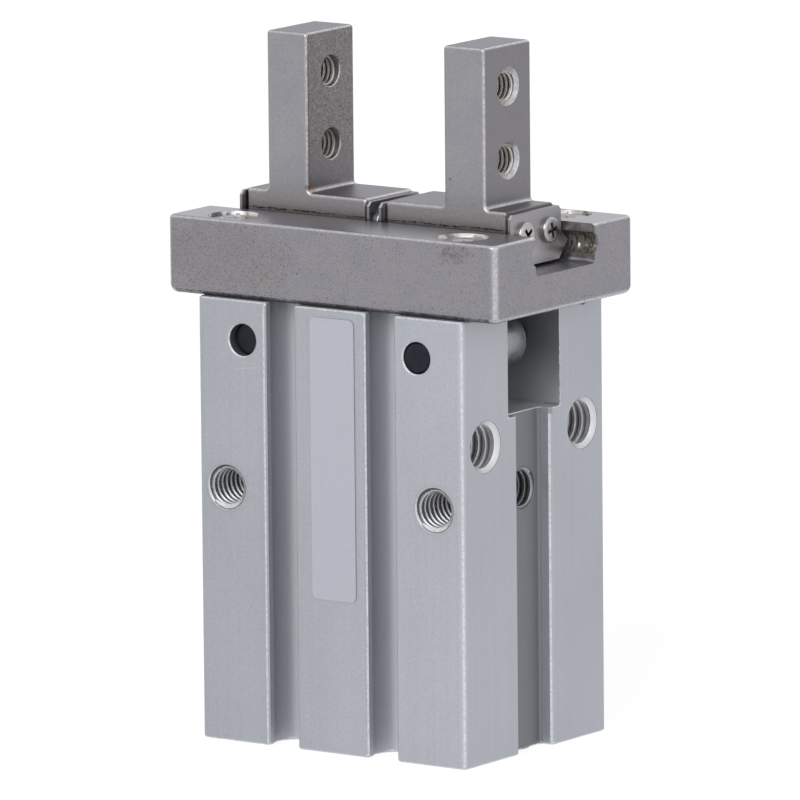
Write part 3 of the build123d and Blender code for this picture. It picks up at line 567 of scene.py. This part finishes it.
# %% Pits and rust on the rail
def rail_marks(tree, place, skin):
    """The skin with pits, thickest at the left corner and along the bottom edge, rust and a smudge."""
    worn_corner = spot(tree, place, (-13.0, -11.5, 46.8), (11.0, 4.0, 4.5), ragged=0.5)
    patches = add(tree, "TexNoise", place, Scale=1 / 6, Detail=2.0)
    elsewhere = add(tree, "MapRange", patches, 0.45, 0.7, 0.08, 0.4)
    bottom_edge = ramp(tree, place, "Z", 44.0, 43.1, 0.0, 0.45)
    more = add(tree, "Math ADD", elsewhere, bottom_edge)
    pit_share = add(tree, "Math MULTIPLY_ADD", worn_corner, 0.6, more)
    coarse = pits(tree, place, 0.3, pit_share, 0.085)
    fine_share = add(tree, "Math MULTIPLY", pit_share, 1.3)
    fine = pits(tree, place, 0.19, fine_share, 0.065)
    browned = tinted(tree, skin, worn_corner, 0.14, "#6F6558")
    colour = tinted(tree, browned, coarse, 0.7, "#3C3836")
    colour = tinted(tree, colour, fine, 0.55, "#464243")
    rust_low = spot(tree, place, (-6.9, -11.5, 44.8), (1.5, 0.6, 1.2), ragged=0.8)
    rust_high = spot(tree, place, (-4.9, -11.5, 46.9), (1.2, 0.6, 1.3), ragged=0.8)
    rust = add(tree, "Math MAXIMUM", rust_low, rust_high)
    rust_specks = overlap(tree, rust, pits(tree, place, 0.26, 0.6, 0.15))
    colour = tinted(tree, colour, rust_specks, 0.6, "#8A6450")
    smudge = spot(tree, place, (14.4, -11.5, 49.0), (2.4, 0.5, 1.0), ragged=0.8)
    dark_specks = overlap(tree, smudge, pits(tree, place, 0.28, 0.75, 0.17))
    colour = tinted(tree, colour, smudge, 0.16, "#5C4A3A")
    return tinted(tree, colour, dark_specks, 0.4, "#3C332C")


# %% The rail's finish
ground_roughness = 0.3


def rail_steel():
    material, tree, shader, place = start_material("ground_and_blasted_hardened_steel")
    low, high = block_of("guide_rail")
    mottle = add(tree, "TexNoise", place, Scale=1 / 2.2, Detail=5.0, Roughness=0.65)
    spread = add(tree, "MapRange", mottle, 0.3, 0.7)
    base = clouded(tree, spread, "#88878E", "#8F8C90")
    grain = add(tree, "TexNoise", place, Scale=1 / 0.12, Detail=2.0, Roughness=0.7)
    skin = shaded(tree, base, grain, 0.3, 0.7, 0.8, 1.24)
    marked = rail_marks(tree, place, skin)
    near = outer_layer(tree, place, low, high, 0.6)
    broken = overlap(tree, slanted(tree), near)
    bottom_front = inside_block(tree, place, (low[0] + 0.9, low[1] - 0.1, low[2] - 0.1),
                                (high[0] - 0.9, low[1] + 0.6, low[2] + 0.5))
    grime_and_shadow_noise = add(tree, "TexNoise", place, Scale=1 / 0.45, Detail=4.0, Roughness=0.7)
    grime_and_contact_shadow = add(tree, "MapRange", grime_and_shadow_noise, 0.42, 0.58, 0.1, 0.75)
    # Painted highlight on the broken edges, which also stands for wear.
    highlit_edge = add(tree, "Math SUBTRACT", broken, bottom_front, use_clamp=True)
    edges = tinted(tree, marked, highlight_and_wear(tree, place, highlit_edge, 0.6, 1.0), 0.75, "#CDCCD1")
    # Along the front bottom edge: grime and a painted contact shadow, dark and mottled.
    edges = tinted(tree, edges, overlap(tree, bottom_front, grime_and_contact_shadow), 1.0, "#4B4848")
    look = add(tree, "SeparateXYZ", facing(tree))
    top = add(tree, "Math GREATER_THAN", look.outputs["Z"], 0.98)
    # Painted shade: faces that look up are painted darker.
    shaded_top = tinted(tree, edges, top, 0.8, "#87878E")
    folded = add(tree, "VectorMath ABSOLUTE", place)
    # Painted light in the rail's slot: its walls and floor are painted paler, in patches.
    slot = inside_block(tree, folded, (past_fold, past_fold, 45.0), (high[0] - 0.02, 5.6, high[2] - 0.05))
    dirt_and_light_patches = add(tree, "TexNoise", place, Scale=1 / 0.6, Detail=4.0, Roughness=0.7)
    painted_light = add(tree, "MapRange", dirt_and_light_patches, 0.35, 0.65, 0.15, 0.9)
    lit_slot = tinted(tree, shaded_top, overlap(tree, slot, painted_light), 0.8, "#CFCCCD")
    # Painted highlight: the upright walls of the counterbores are painted pale, in patches.
    in_counterbore = near_axis(tree, folded, guide_screw, (1, 1, 0), counterbore_reach)
    below_top = ramp(tree, place, "Z", high[2] - 0.6, high[2] - 0.2)
    upright = add(tree, "Math SUBTRACT", 1.0, top)
    rim_light_noise = add(tree, "TexNoise", place, Scale=1 / 1.4, Detail=3.0)
    rim_light_share = add(tree, "MapRange", rim_light_noise, 0.42, 0.58)
    wall = overlap(tree, in_counterbore, below_top, rim_light_share, upright)
    counterbore_lit = tinted(tree, lit_slot, wall, 1.0, "#D8D3CE")
    rough_skin = add(tree, "MapRange", grain, 0.3, 0.7, 0.36, 0.46)
    smoother = add(tree, "Math MAXIMUM", top, slot)
    rough = add(tree, "Mix", smoother, rough_skin, ground_roughness)
    dress(tree, shader, counterbore_lit, (rough,), (grain, 0.3, 0.01), metallic=0.85,
          Normal=tipped_up(tree, wall, 0.8))
    return material


# %% [markdown]
# ## The fingers' steel
#
# The fingers are milled from the same kind of stainless steel and then blasted. Their wide side
# faces are fine and even. The inner faces, which look at each other, are coarser and darker, with a
# sandy grain that can be counted in the portrait; part of that darkness is painted shade. The outer
# faces and the tops are painted darker as shade. The lower blocks, which stick out of the rail, have
# the browner tone of steel that is wiped with oil. Where they dip into the rail stands a dark line
# of old oil and painted contact shadow, with oil and painted shade above it, and a painted shadow
# lies beside the stopper plates. The finish picks each of these by the direction that the face
# looks in and by its height.

# %% Marks and oil on the fingers
def finger_marks(tree, place, skin):
    """The skin with a speck, two stains, rust in one corner, and oil with painted shade and a painted contact
    shadow line above the rail.
    """
    speck = spot(tree, place, (8.58, -3.9, 54.67), (0.16, 0.3, 0.14))
    stain = spot(tree, place, (-7.86, -3.9, 52.5), (0.5, 0.6, 0.35))
    marks = add(tree, "Math MAXIMUM", speck, stain)
    colour = tinted(tree, skin, marks, 0.6, "#4F4A47")
    rust = spot(tree, place, (-7.7, -3.4, 52.6), (0.5, 1.1, 0.7), ragged=0.6)
    colour = tinted(tree, colour, rust, 0.35, "#8A6350")
    height = add(tree, "SeparateXYZ", place)
    # Darker towards the rail: oil and painted shade where the finger dips in.
    film = add(tree, "MapRange", height.outputs["Z"], 51.2, 50.1, 0.0, 0.32, **smooth)
    colour = tinted(tree, colour, film, 1.0, "#5C544E")
    # A thin dark line just above the rail: oil and a painted contact shadow.
    line_wobble = add(tree, "TexNoise", place, Scale=1 / 1.1, Detail=3.0)
    oil_and_shadow_line_top = add(tree, "Math MULTIPLY_ADD", line_wobble, 0.35, 50.06)
    above_oil = add(tree, "Math SUBTRACT", height.outputs["Z"], oil_and_shadow_line_top)
    from_line = add(tree, "Math ABSOLUTE", above_oil)
    line_breadth_noise = add(tree, "TexNoise", place, Scale=1 / 0.5, Detail=2.0)
    breadth = add(tree, "MapRange", line_breadth_noise, 0.4, 0.65, 0.02, 0.13)
    relative = add(tree, "Math DIVIDE", from_line, breadth)
    oil_and_contact_shadow_line = add(tree, "MapRange", relative, 1.1, 0.5, 0.0, 0.85)
    return tinted(tree, colour, oil_and_contact_shadow_line, 1.0, "#2E2B2A")


# %% The fingers' finish
def finger_steel():
    material, tree, shader, place = start_material("milled_and_blasted_stainless_steel")
    grain = add(tree, "TexNoise", place, Scale=1 / 0.16, Detail=3.0, Roughness=0.7)
    clouds = add(tree, "TexNoise", place, Scale=1 / 3, Detail=4.0)
    even = clouded(tree, clouds, "#8D8C92", "#9A989C")
    look = add(tree, "SeparateXYZ", facing(tree))
    where = add(tree, "SeparateXYZ", place)
    toward_middle = add(tree, "Math MULTIPLY", look.outputs["X"], where.outputs["X"])
    inner_face = add(tree, "Math LESS_THAN", toward_middle, -4.0)
    outer_face = add(tree, "Math GREATER_THAN", toward_middle, 9.0)
    sand = add(tree, "TexNoise", place, Scale=1 / 0.13, Detail=2.0, Roughness=0.6)
    coarse = add(tree, "MapRange", sand, 0.35, 0.62)
    sandy = clouded(tree, coarse, "#595656", "#898686")
    blended = tinted(tree, sandy, ramp(tree, place, "Z", 58.0, 53.0, 0.0, 0.6, **smooth), 1.0, "#767378")
    # The inner faces are darker partly from a coarser blast and partly as painted shade; the outer faces are
    # painted darker as shade.
    faces = add(tree, "Mix", inner_face, even, blended, data_type="RGBA")
    outer_face_shade = tinted(tree, faces.outputs[2], outer_face, 0.85, "#787679")
    # Painted shade: faces that look up are painted darker.
    upward = add(tree, "Math GREATER_THAN", look.outputs["Z"], 0.95)
    shaded_tops = tinted(tree, outer_face_shade, upward, 0.9, "#68676F")
    lower_block = ramp(tree, place, "Z", 52.4, 51.9, 0.0, 0.8)
    sideways = add(tree, "Math SUBTRACT", 1.0, upward)
    oiled = tinted(tree, shaded_tops, overlap(tree, lower_block, sideways), 1.0, "#989394")
    skin = shaded(tree, oiled, grain, 0.3, 0.7, 0.87, 1.13)
    from_middle = add(tree, "VectorMath SUBTRACT", place, jaw_holes_middle)
    folded = add(tree, "VectorMath ABSOLUTE", from_middle)
    in_bore = near_axis(tree, folded, jaw_hole, (0, 1, 1), jaw_hole_reach)
    broken = add(tree, "Math SUBTRACT", slanted(tree), in_bore, use_clamp=True)
    # Painted highlight on the broken edges, which also stands for wear.
    edges = tinted(tree, skin, highlight_and_wear(tree, place, broken, 0.5, 1.0), 0.8, "#CBCACD")
    size = add(tree, "VectorMath ABSOLUTE", place)
    reach = add(tree, "SeparateXYZ", size)
    # Painted contact shadow where the finger meets the stopper plate.
    at_plate = add(tree, "Math GREATER_THAN", reach.outputs["X"], stopper_plate_start)
    contact_shadow = tinted(tree, edges, at_plate, 0.85, "#3A3532")
    dress(tree, shader, finger_marks(tree, place, contact_shadow), (grain, 0.3, 0.7, 0.36, 0.48), (grain, 0.45, 0.012),
          metallic=1.0)
    return material


# %% [markdown]
# ## Sheet steel and screws
#
# The stopper plates are punched from thin stainless sheet, so they keep the fine rolling lines of
# the sheet, running across them. Their lower part is painted paler as light, their bevels carry a
# painted highlight and a painted shadow lies where they meet the fingers. The screws are steel with
# a bright nickel coat, turned and then tumbled: almost a mirror, with soft dull patches where a
# driver has touched them. The rim of their sockets and of the counterbores is rounded by less than a
# tenth of a millimetre, too little to be worth geometry, so there the shading normal is tipped
# upwards and catches the light as the rim does; the counterbore walls also carry a painted
# highlight. Threads are cut last and left bare, so they are brighter than the metal round them, and
# they carry painted shade and highlight as well.

# %% Rolled sheet
def stopper_plate_steel():
    material, tree, shader, place = start_material("rolled_stainless_sheet")
    rolled = add(tree, "VectorMath MULTIPLY", place, (1 / 0.1, 1 / 3, 1 / 0.1))
    lines = add(tree, "TexNoise", rolled, Scale=1.0, Detail=2.0)
    base = clouded(tree, lines, "#8A888C", "#A19FA3")
    # Painted light: the lower part of the plate is painted paler.
    painted_light = tinted(tree, base, ramp(tree, place, "Z", 49.5, 47.2, 0.0, 0.4), 1.0, "#E0DEE0")
    # Painted highlight on the bevels.
    edges = tinted(tree, painted_light, slanted(tree), 0.6, "#CFCED1")
    # Painted shadow on the cut sides beside the finger.
    folded = add(tree, "VectorMath ABSOLUTE", place)
    beside_finger = inside_block(tree, folded, (0.82, past_fold, 40.0), (15.38, 5.3, 60.0))
    look = add(tree, "SeparateXYZ", facing(tree))
    flat = add(tree, "Math ABSOLUTE", look.outputs["X"])
    cut_side = add(tree, "Math LESS_THAN", flat, 0.5)
    contact_shadow = overlap(tree, beside_finger, cut_side)
    dress(tree, shader, tinted(tree, edges, contact_shadow, 0.85, "#352F2B"), (lines, 0.0, 1.0, 0.3, 0.44),
          (lines, 0.2, 0.005), metallic=1.0)
    return material


# %% Nickel on screws
def nickel_screw_steel():
    material, tree, shader, place = start_material("nickel_plated_screw_steel")
    folded = add(tree, "VectorMath ABSOLUTE", place)
    socket = near_axis(tree, folded, guide_screw, (1, 1, 0), screw_socket_reach)
    touched = add(tree, "TexNoise", place, Scale=1 / 0.8, Detail=3.0)
    base = clouded(tree, touched, "#9A999B", "#B9B6B3")
    dress(tree, shader, base, (touched, 0.35, 0.65, 0.18, 0.32), (touched, 0.15, 0.01), metallic=1.0,
          Normal=tipped_up(tree, socket, 0.8))
    return material


# %% Metal just cut by a tap, with painted shade at the root of the thread and a painted highlight at its crest
def cut_metal(name, root, crest, least):
    material, tree, shader, place = start_material(name)
    torn = add(tree, "TexNoise", place, Scale=1 / 0.2, Detail=3.0)
    rise = add(tree, "Attribute", attribute_name="crest")
    wobbly = add(tree, "Math MULTIPLY_ADD", torn, 0.5, rise.outputs["Fac"])
    share = add(tree, "MapRange", wobbly, least, 1.3)
    base = clouded(tree, share, root, crest)
    dress(tree, shader, base, (torn, 0.3, 0.7, 0.32, 0.5), (torn, 0.3, 0.01), metallic=0.8)
    return material


# %% [markdown]
# ## Black shafts, levers and bearings
#
# The lever shafts and the snap ring are steel with a black oxide, a thin skin that is almost black
# and slightly blue where oil lies on it. The levers are sintered steel, wet with grease. The balls,
# rollers and dowels are bearing steel, ground and polished. They are the only true mirrors here,
# and what keeps them from looking like chrome is the thin film of oil: a trace of roughness that
# changes over half a millimetre.

# %% Black oxide
def black_shaft_steel():
    return noisy_finish("black_oxide_steel", 0.7, 3.0, "#1F2026", "#30323B", (0.35, 0.65, 0.3, 0.45),
                        relief=(0.2, 0.01), metallic=0.9)


# %% Sintered levers
def lever_steel():
    material, tree, shader, place = start_material("sintered_and_oiled_steel")
    pores = pits(tree, place, 0.25, 0.4, 0.05)
    oil = add(tree, "TexNoise", place, Scale=1 / 1.5, Detail=3.0)
    base = clouded(tree, oil, "#8A8C90", "#A2A4A8")
    round_hub = add(tree, "VectorMath MULTIPLY", place, (1 / 4, 1 / 0.16, 1 / 4))
    hub_lines = add(tree, "TexNoise", round_hub, Scale=1.0, Detail=1.0)
    turned = shaded(tree, base, hub_lines, 0.35, 0.65, 0.85, 1.12)
    porous = tinted(tree, turned, pores, 1.0, "#4A4A4C")
    dress(tree, shader, porous, (oil, 0.35, 0.65, 0.22, 0.4), (pores, 0.3, 0.01), metallic=0.9, invert=True)
    return material


# %% Polished bearing steel
def bearing_steel():
    return noisy_finish("polished_bearing_steel", 0.5, 2.0, "#B8B6B2", "#C9C9CC", (0.35, 0.65, 0.06, 0.2),
                        metallic=1.0)


# %% [markdown]
# ## The piston, the rubber and the plastics
#
# These lie inside and show only when the part is taken apart or looked at from below, but each is
# finished as what it is. The piston is turned aluminium, so fine tool lines run round it. The seals
# are nitrile rubber, matt and a little dusty; the magnet is rubber filled with iron powder; the wear
# ring and the end cap are moulded acetal, smooth with the faint orange peel of a moulding.

# %% Turned aluminium
def piston_aluminium():
    material, tree, shader, place = start_material("turned_aluminium")
    tool_lines = add(tree, "TexWave", place, Scale=1 / (0.15 * 20), Distortion=0.4, wave_type="BANDS",
                     bands_direction="Z", wave_profile="SIN")
    base = clouded(tree, tool_lines, "#B4B5B8", "#C4C5C8")
    dress(tree, shader, base, (tool_lines, 0.0, 1.0, 0.24, 0.34), (tool_lines, 0.3, 0.005), metallic=1.0)
    return material


# %% Nitrile rubber
def seal_rubber():
    return noisy_finish("moulded_nitrile_rubber", 0.4, 4.0, "#1C1C1D", "#2C2C2D", (0.0, 1.0, 0.5, 0.75),
                        relief=(0.25, 0.02), ior=1.52)


# %% Rubber-bound magnet
def magnet_rubber():
    material, tree, shader, place = start_material("iron_filled_magnet_rubber")
    powder = pits(tree, place, 0.2, 0.5, 0.06)
    base = clouded(tree, powder, "#38322F", "#57504B")
    dress(tree, shader, base, (powder, 0.0, 1.0, 0.6, 0.4))
    return material


# %% Moulded acetal, in two colours
def moulded_acetal(name, dark, pale):
    return noisy_finish(name, 0.6, 2.0, dark, pale, (0.0, 1.0, 0.32, 0.42), relief=(0.2, 0.02), ior=1.48)


# %% [markdown]
# ## The label's film
#
# The label is a strip of polyester film with a satin coat, stuck on the middle rib. It is bare
# here. It is a touch bluer and smoother than the aluminium round it, and its cut edge shows as a
# fine dark line of painted shade. That line is the thin side of the film itself, found as the faces
# that don't look forward.

# %% Satin polyester film
def label_film():
    material, tree, shader, place = start_material("satin_polyester_film")
    low, high = block_of("blank_label")
    fine = add(tree, "TexNoise", place, Scale=1 / 0.25, Detail=2.0)
    base = clouded(tree, fine, "#BCBFCA", "#C5C8D3")
    look = add(tree, "SeparateXYZ", facing(tree))
    side = add(tree, "Math GREATER_THAN", look.outputs["Y"], -0.7)
    # Painted shade on the film's cut edge.
    edge_shaded = tinted(tree, base, side, 0.8, "#5C5E66")
    dress(tree, shader, edge_shaded, (fine, 0.0, 1.0, 0.34, 0.42), (fine, 0.12, 0.01), ior=1.57)
    print("label %.2f by %.2f mm" % (high[0] - low[0], high[2] - low[2]))
    return material


# %% [markdown]
# ## Dressing the solids
#
# The record that comes with the CAD model says which finish each solid has, by the same names as
# the functions above. A loop puts the matching material in the solid's own slot, so nothing is
# dressed by hand and nothing is missed.

# %% One material for each finish
makers = (anodised_aluminium, rail_steel, finger_steel, stopper_plate_steel, nickel_screw_steel,
          black_shaft_steel, lever_steel, bearing_steel, piston_aluminium, seal_rubber, magnet_rubber,
          label_film)
finishes = {maker.__name__: maker() for maker in makers}
finishes["wear_resin"] = moulded_acetal("moulded_acetal_natural", "#D2CFC6", "#DEDBD2")
finishes["cap_resin"] = moulded_acetal("moulded_acetal_black", "#26272A", "#303236")
print("finishes:", len(finishes))

# %% Put them in the slots
for part in frame["record"]["subparts"]:
    mesh = frame["nodes"][part["node"]].data
    if not mesh.materials:
        mesh.materials.append(None)
    for place in range(len(mesh.materials)):
        mesh.materials[place] = finishes[part["material_slot"]]

# %% [markdown]
# ## Screw threads
#
# A tapped hole is a smooth bore with a V-shaped groove cut round it as a helix. The CAD model draws
# such a hole at the thread's outer size and leaves the thread out, so what is missing here is the
# ridge that stays between two turns of the groove. A picture of stripes would go flat in a close
# view, and a modifier that screws a profile round an axis can't taper its ends, so the ridge is
# laid turn by turn in mesh code: four corners at each step and forty steps to a turn. A full metric
# thread is 0.54 of its pitch high, but the drill before the tap is always a little large, which
# leaves 0.43 of the pitch and a flat top three eighths of the pitch wide. The countersink is cut
# last, so a cone trims the first turn. Each point also notes whether it is on the crest. The metal
# is painted paler there, a painted highlight that also stands for the rubbing of the tap and every
# screw since, and darker towards the root, as painted shade.

# %% The ridge of one thread
tapped_aluminium = cut_metal("tapped_aluminium", "#4C4D52", "#D2D3D6", 0.7)
# Painted light: the port threads are paler up their flanks, and the port cones are painted pale all over.
tapped_port = cut_metal("tapped_port_aluminium", "#8E8F94", "#FAFAFB", -0.1)
darker_tapped_aluminium = cut_metal("darker_tapped_aluminium", "#5A5B5F", "#A2A4A8", 0.5)
tapped_steel = cut_metal("tapped_stainless_steel", "#5F5C59", "#DCD9D5", 0.5)
cone_finish = cut_metal("countersunk_aluminium", "#CCCED2", "#DEDFE2", 0.4)
thread_steps = 40
ring_steps = 96
foot_share = 7 / 8
crest_share = 3 / 8
ridge_share = 0.43
sunk_in_wall = 0.012 * MM
cone_play = 0.03 * MM
corner_play = 0.004 * MM
start_share = 0.8
end_height = 0.04
crease_angle = math.radians(30)


def smooth_piece(name, points, faces, finish):
    """A smooth piece with its finish, in the scene."""
    mesh = bpy.data.meshes.new(name)
    mesh.from_pydata(points, [], faces)
    mesh.validate()
    mesh.shade_smooth()
    mesh.materials.append(finish)
    piece = bpy.data.objects.new(name, mesh)
    bpy.context.scene.collection.objects.link(piece)
    return piece


def shaped_piece(name, points, faces, crests, body, finish):
    """A piece with sharp creases that rides on a body. Each point tells whether it is on a crest."""
    piece = smooth_piece(name, points, faces, finish)
    piece.data.set_sharp_from_angle(angle=crease_angle)
    piece.data.attributes.new("crest", "FLOAT", "POINT").data.foreach_set("value", crests)
    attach(piece, body)
    return piece


def square_to(outward):
    """The unit vector along outward, and two that are square to it and to each other."""
    axis = Vector(outward).normalized()
    side = axis.orthogonal().normalized()
    return axis, side, axis.cross(side)


def band(count, first, second):
    """The faces between two rows of count points, round a closed profile."""
    return [(first + i, first + (i + 1) % count, second + (i + 1) % count, second + i) for i in range(count)]


def cut_thread(name, mouth, outward, radius, pitch, bevel, first_depth, steep, end, body, metal):
    """A helical ridge from first_depth to end below a bevelled mouth.

    The cone that trims it goes steep times as deep as it goes in.
    """
    axis, side, up = square_to(outward)
    foot = foot_share * pitch / 2
    crest = crest_share * pitch / 2
    height = ridge_share * pitch
    start = first_depth - start_share * foot
    turns = (end - foot - start) / pitch
    count = round(turns * thread_steps)
    points = []
    faces = []
    for step in range(count + 1):
        angle = 2 * math.pi * turns * step / count
        middle = start + pitch * turns * step / count
        grown = min(1.0, end_height + 4 * (count - step) / thread_steps)
        left = min(height * grown, max(0.0, steep * middle - bevel + cone_play))
        flat = foot - (foot - crest) * left / height
        ray = side * math.cos(angle) + up * math.sin(angle)
        for corner, offset in enumerate((-foot, -flat, flat, foot)):
            depth = max(first_depth + corner_play * corner, middle + offset * grown)
            wall = radius + max(0.0, bevel - depth)
            reach = wall + sunk_in_wall
            if corner in (1, 2):
                cone = radius + bevel - cone_play - steep * depth
                reach = max(radius - height * grown, min(wall - sunk_in_wall / 2, cone))
            points.append(Vector(mouth) + ray * reach - axis * depth)
        if step:
            faces += band(4, 4 * (step - 1), 4 * step)
    faces += [(3, 2, 1, 0), tuple(4 * count + i for i in range(4))]
    crests = [0.0, 1.0, 1.0, 0.0] * (count + 1)
    return shaped_piece(name, points, faces, crests, body, metal)


# %% A ring turned inside a hole
def turned_ring(name, mouth, outward, profile, body, finish):
    """A ring in a hole, turned from a profile of radii and depths below the mouth."""
    axis, side, up = square_to(outward)
    count = len(profile)
    points = []
    faces = []
    for step in range(ring_steps):
        angle = 2 * math.pi * step / ring_steps
        ray = side * math.cos(angle) + up * math.sin(angle)
        points += [Vector(mouth) + ray * radius - axis * depth for radius, depth in profile]
        faces += band(count, count * step, count * ((step + 1) % ring_steps))
    crests = [1.0 if i == 1 else 0.0 for i in range(count)] * ring_steps
    return shaped_piece(name, points, faces, crests, body, finish)


def countersink_lip(name, mouth, outward, radius, cut, wanted, body, slot):
    """Fills the outer part of a countersink that is cut wide, down to the wanted width."""
    profile = ((radius + cut + sunk_in_wall, 0.0), (radius + wanted, 0.0), (radius, wanted),
               (radius, cut), (radius + sunk_in_wall, cut + sunk_in_wall))
    return turned_ring(name, mouth, outward, profile, body, finishes[slot])


def port_cone(name, mouth, outward, radius, inner):
    """A ring whose cone leads from the bore's wall at the face to just past the thread's crest."""
    rise = radius - inner
    rim = port_rim * MM
    profile = ((radius + sunk_in_wall, rim), (inner, rim + rise), (inner, rim + 1.25 * rise),
               (radius + sunk_in_wall, rim + 1.75 * rise))
    return turned_ring(name, mouth, outward, profile, "housing", cone_finish)


# %% [markdown]
# The holes to thread are already in the record as mounts: the place of each group, the way its axis
# looks, how far apart its holes are, and their radius. Reading them from there keeps the threads in
# the holes if the model changes. A group lies on the face that it opens to, but a single hole is
# recorded at the middle of its depth, so its mouth is moved out to the face. What is given here is
# the direction in which a group spreads, the pitch, the width of the countersink, the depths at
# which the ridge starts and ends, and how steep its cone is. The solids cut the countersinks of
# the larger holes a little wide, so a thin lip with the finish of the face narrows them.

# %% Threads in every tapped hole
mounts = {mount["name"]: mount for mount in frame["record"]["mounts"]}
body_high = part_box("body")[1]


def thread_group(group, pitch, bevel, first, depth, metal, spread=(0, 0, 0), face=None, cut=None, steep=1.0,
                 body="housing", slot="anodised_aluminium"):
    """Cuts the threads of one mount, in millimetres, with lips if the width that was cut is given.

    The face, in metres from the middle, is where the mouth of a single hole lies.
    """
    mount = mounts[group]
    axis = Vector(mount["axis"])
    dims = mount["dims"]
    spacing = dims.get("spacing_x_mm", dims.get("spacing_y_mm", 0.0)) * MM
    radius = dims.get("hole_r_mm", dims.get("r_mm")) * MM
    place = Vector(mount["pos_m"])
    if face is not None:
        place += axis * (face - place.dot(axis))
    mouths = [place + Vector(spread) * sign * spacing / 2 for sign in ((-1, 1) if spacing else (0,))]
    for number, mouth in enumerate(mouths, 1):
        cut_thread(f"{group}_ridge_{number}", mouth, axis, radius, pitch * MM, bevel * MM, first * MM, steep,
                   depth * MM, body, metal)
        if cut:
            countersink_lip(f"{group}_lip_{number}", mouth, axis, radius, cut * MM, bevel * MM, body, slot)
    return mouths


made = []
wide_cut = 0.4
m4_pitch = 0.7
m3_pitch = 0.5
for plain_face, depth in (("front_face_threads", 5.9), ("back_face_threads", 5.9), ("bottom_threads", 7.9)):
    made += thread_group(plain_face, m4_pitch, bevel=0.2, first=0.04, depth=depth, metal=tapped_aluminium,
                         spread=(1, 0, 0), cut=wide_cut, steep=3.0)
for slot_thread in ("right_slot_thread", "left_slot_thread"):
    made += thread_group(slot_thread, m4_pitch, bevel=0.06, first=0.03, depth=4.9,
                         metal=darker_tapped_aluminium, face=body_high.x - side_slot_depth * MM,
                         cut=wide_cut, steep=4.0)
for hand in ("right", "left"):
    made += thread_group(f"{hand}_jaw_holes", m3_pitch, bevel=0.35, first=0.35, depth=4.6, metal=tapped_steel,
                         spread=(0, 0, 1), body=f"{hand}_finger_set", slot="finger_steel")
print("threads cut:", len(made))

# %% Threads and cones in the air ports
port_pitch = 0.8
port_radius = 2.5
port_minor = 2.07
port_rim = 0.05
for port in ("closing_port", "opening_port"):
    first_turn = port_rim + port_radius - port_minor
    mouth = thread_group(port, port_pitch, bevel=port_rim, first=first_turn, depth=4.9, metal=tapped_port,
                         face=body_high.x)[0]
    port_cone(f"{port}_cone", mouth, (1, 0, 0), port_radius * MM, port_minor * MM)
print("cones: radius %.2f to %.2f mm" % (port_radius, port_minor))

# %% [markdown]
# ## Grease in the ball races
#
# The balls run in grease, and the strokes of the fingers push it out to the ends of the rail, where
# it stands on the wall of the race as a lumpy brown film, through which the steel shows where it is
# thin. It could be painted on, but grease has a thickness that catches the light. So it is a thin
# skin of its own: a sheet bent to the race, whose thickness comes from a noise and runs out to
# nothing at its rim.

# %% Old bearing grease
def bearing_grease():
    material, tree, shader, place = start_material("lithium_bearing_grease")
    wiped = add(tree, "VectorMath MULTIPLY", place, (1 / 0.4, 1 / 1.1, 1 / 1.1))
    age = add(tree, "TexNoise", wiped, Scale=1.0, Detail=3.0, Distortion=0.6)
    spread = add(tree, "MapRange", age, 0.36, 0.62)
    base = clouded(tree, spread, "#272622", "#8C897F")
    dress(tree, shader, base, (age, 0.0, 1.0, 0.08, 0.2), (age, 1.0, 0.15))
    thin = add(tree, "MapRange", age, 0.5, 0.62, 0.15, 0.85)
    tree.links.new(thin.outputs[0], shader.inputs["Metallic"])
    return material


# %% The film on one race
race_radius = 1.1 * MM
race_side = 4.4 * MM
race_height = 48.25 * MM
film_start = 15.9 * MM
film_end = 18.9 * MM
film_thickens = 16.7 * MM
film_least = 0.015
film_inner_lumps = 0.07
film_outer_lumps = 0.17
film_half_angle = 82
film_sunk = 0.008 * MM
grease = bearing_grease()


def grease_film(name, end, side):
    """A lumpy skin on the rail's half of a race, at one end (-1 or 1) and one side (-1 or 1)."""
    across, along = 18, 36
    points = []
    for outer in (0, 1):
        for i in range(along + 1):
            x = film_start + (film_end - film_start) * i / along
            for j in range(across + 1):
                angle = math.radians(-film_half_angle + 2 * film_half_angle * j / across)
                rim = min(i, along - i, j, across - j) / 3
                lump = 0.5 + 0.5 * noise.noise(Vector((x / MM * 1.7 + 5 * side, angle * 2.0, end)))
                most = film_inner_lumps if x < film_thickens else film_outer_lumps
                thick = (film_least + most * lump * lump) * min(1.0, rim) * MM
                reach = race_radius + film_sunk if outer else race_radius - thick
                points.append((end * x, side * (race_side + reach * math.cos(angle)),
                               race_height + reach * math.sin(angle)))
    row = across + 1
    layer = row * (along + 1)
    faces = []
    for i in range(along):
        for j in range(across):
            a = i * row + j
            faces.append((a, a + 1, a + row + 1, a + row))
            faces.append((layer + a, layer + a + row, layer + a + row + 1, layer + a + 1))
    rim_points = list(range(row)) + [(i + 1) * row + across for i in range(along)]
    rim_points += [along * row + across - 1 - j for j in range(across)]
    rim_points += [(along - 1 - i) * row for i in range(along - 1)]
    for a, b in zip(rim_points, rim_points[1:] + rim_points[:1]):
        faces.append((b, a, layer + a, layer + b))
    film = smooth_piece(name, points, faces, grease)
    if end * side > 0:
        film.data.flip_normals()
    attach(film, "housing")
    return film


films = [grease_film(f"grease_film_{e + 2 * s + 4}", e, s) for e in (-1, 1) for s in (-1, 1)]
print("grease films:", len(films))
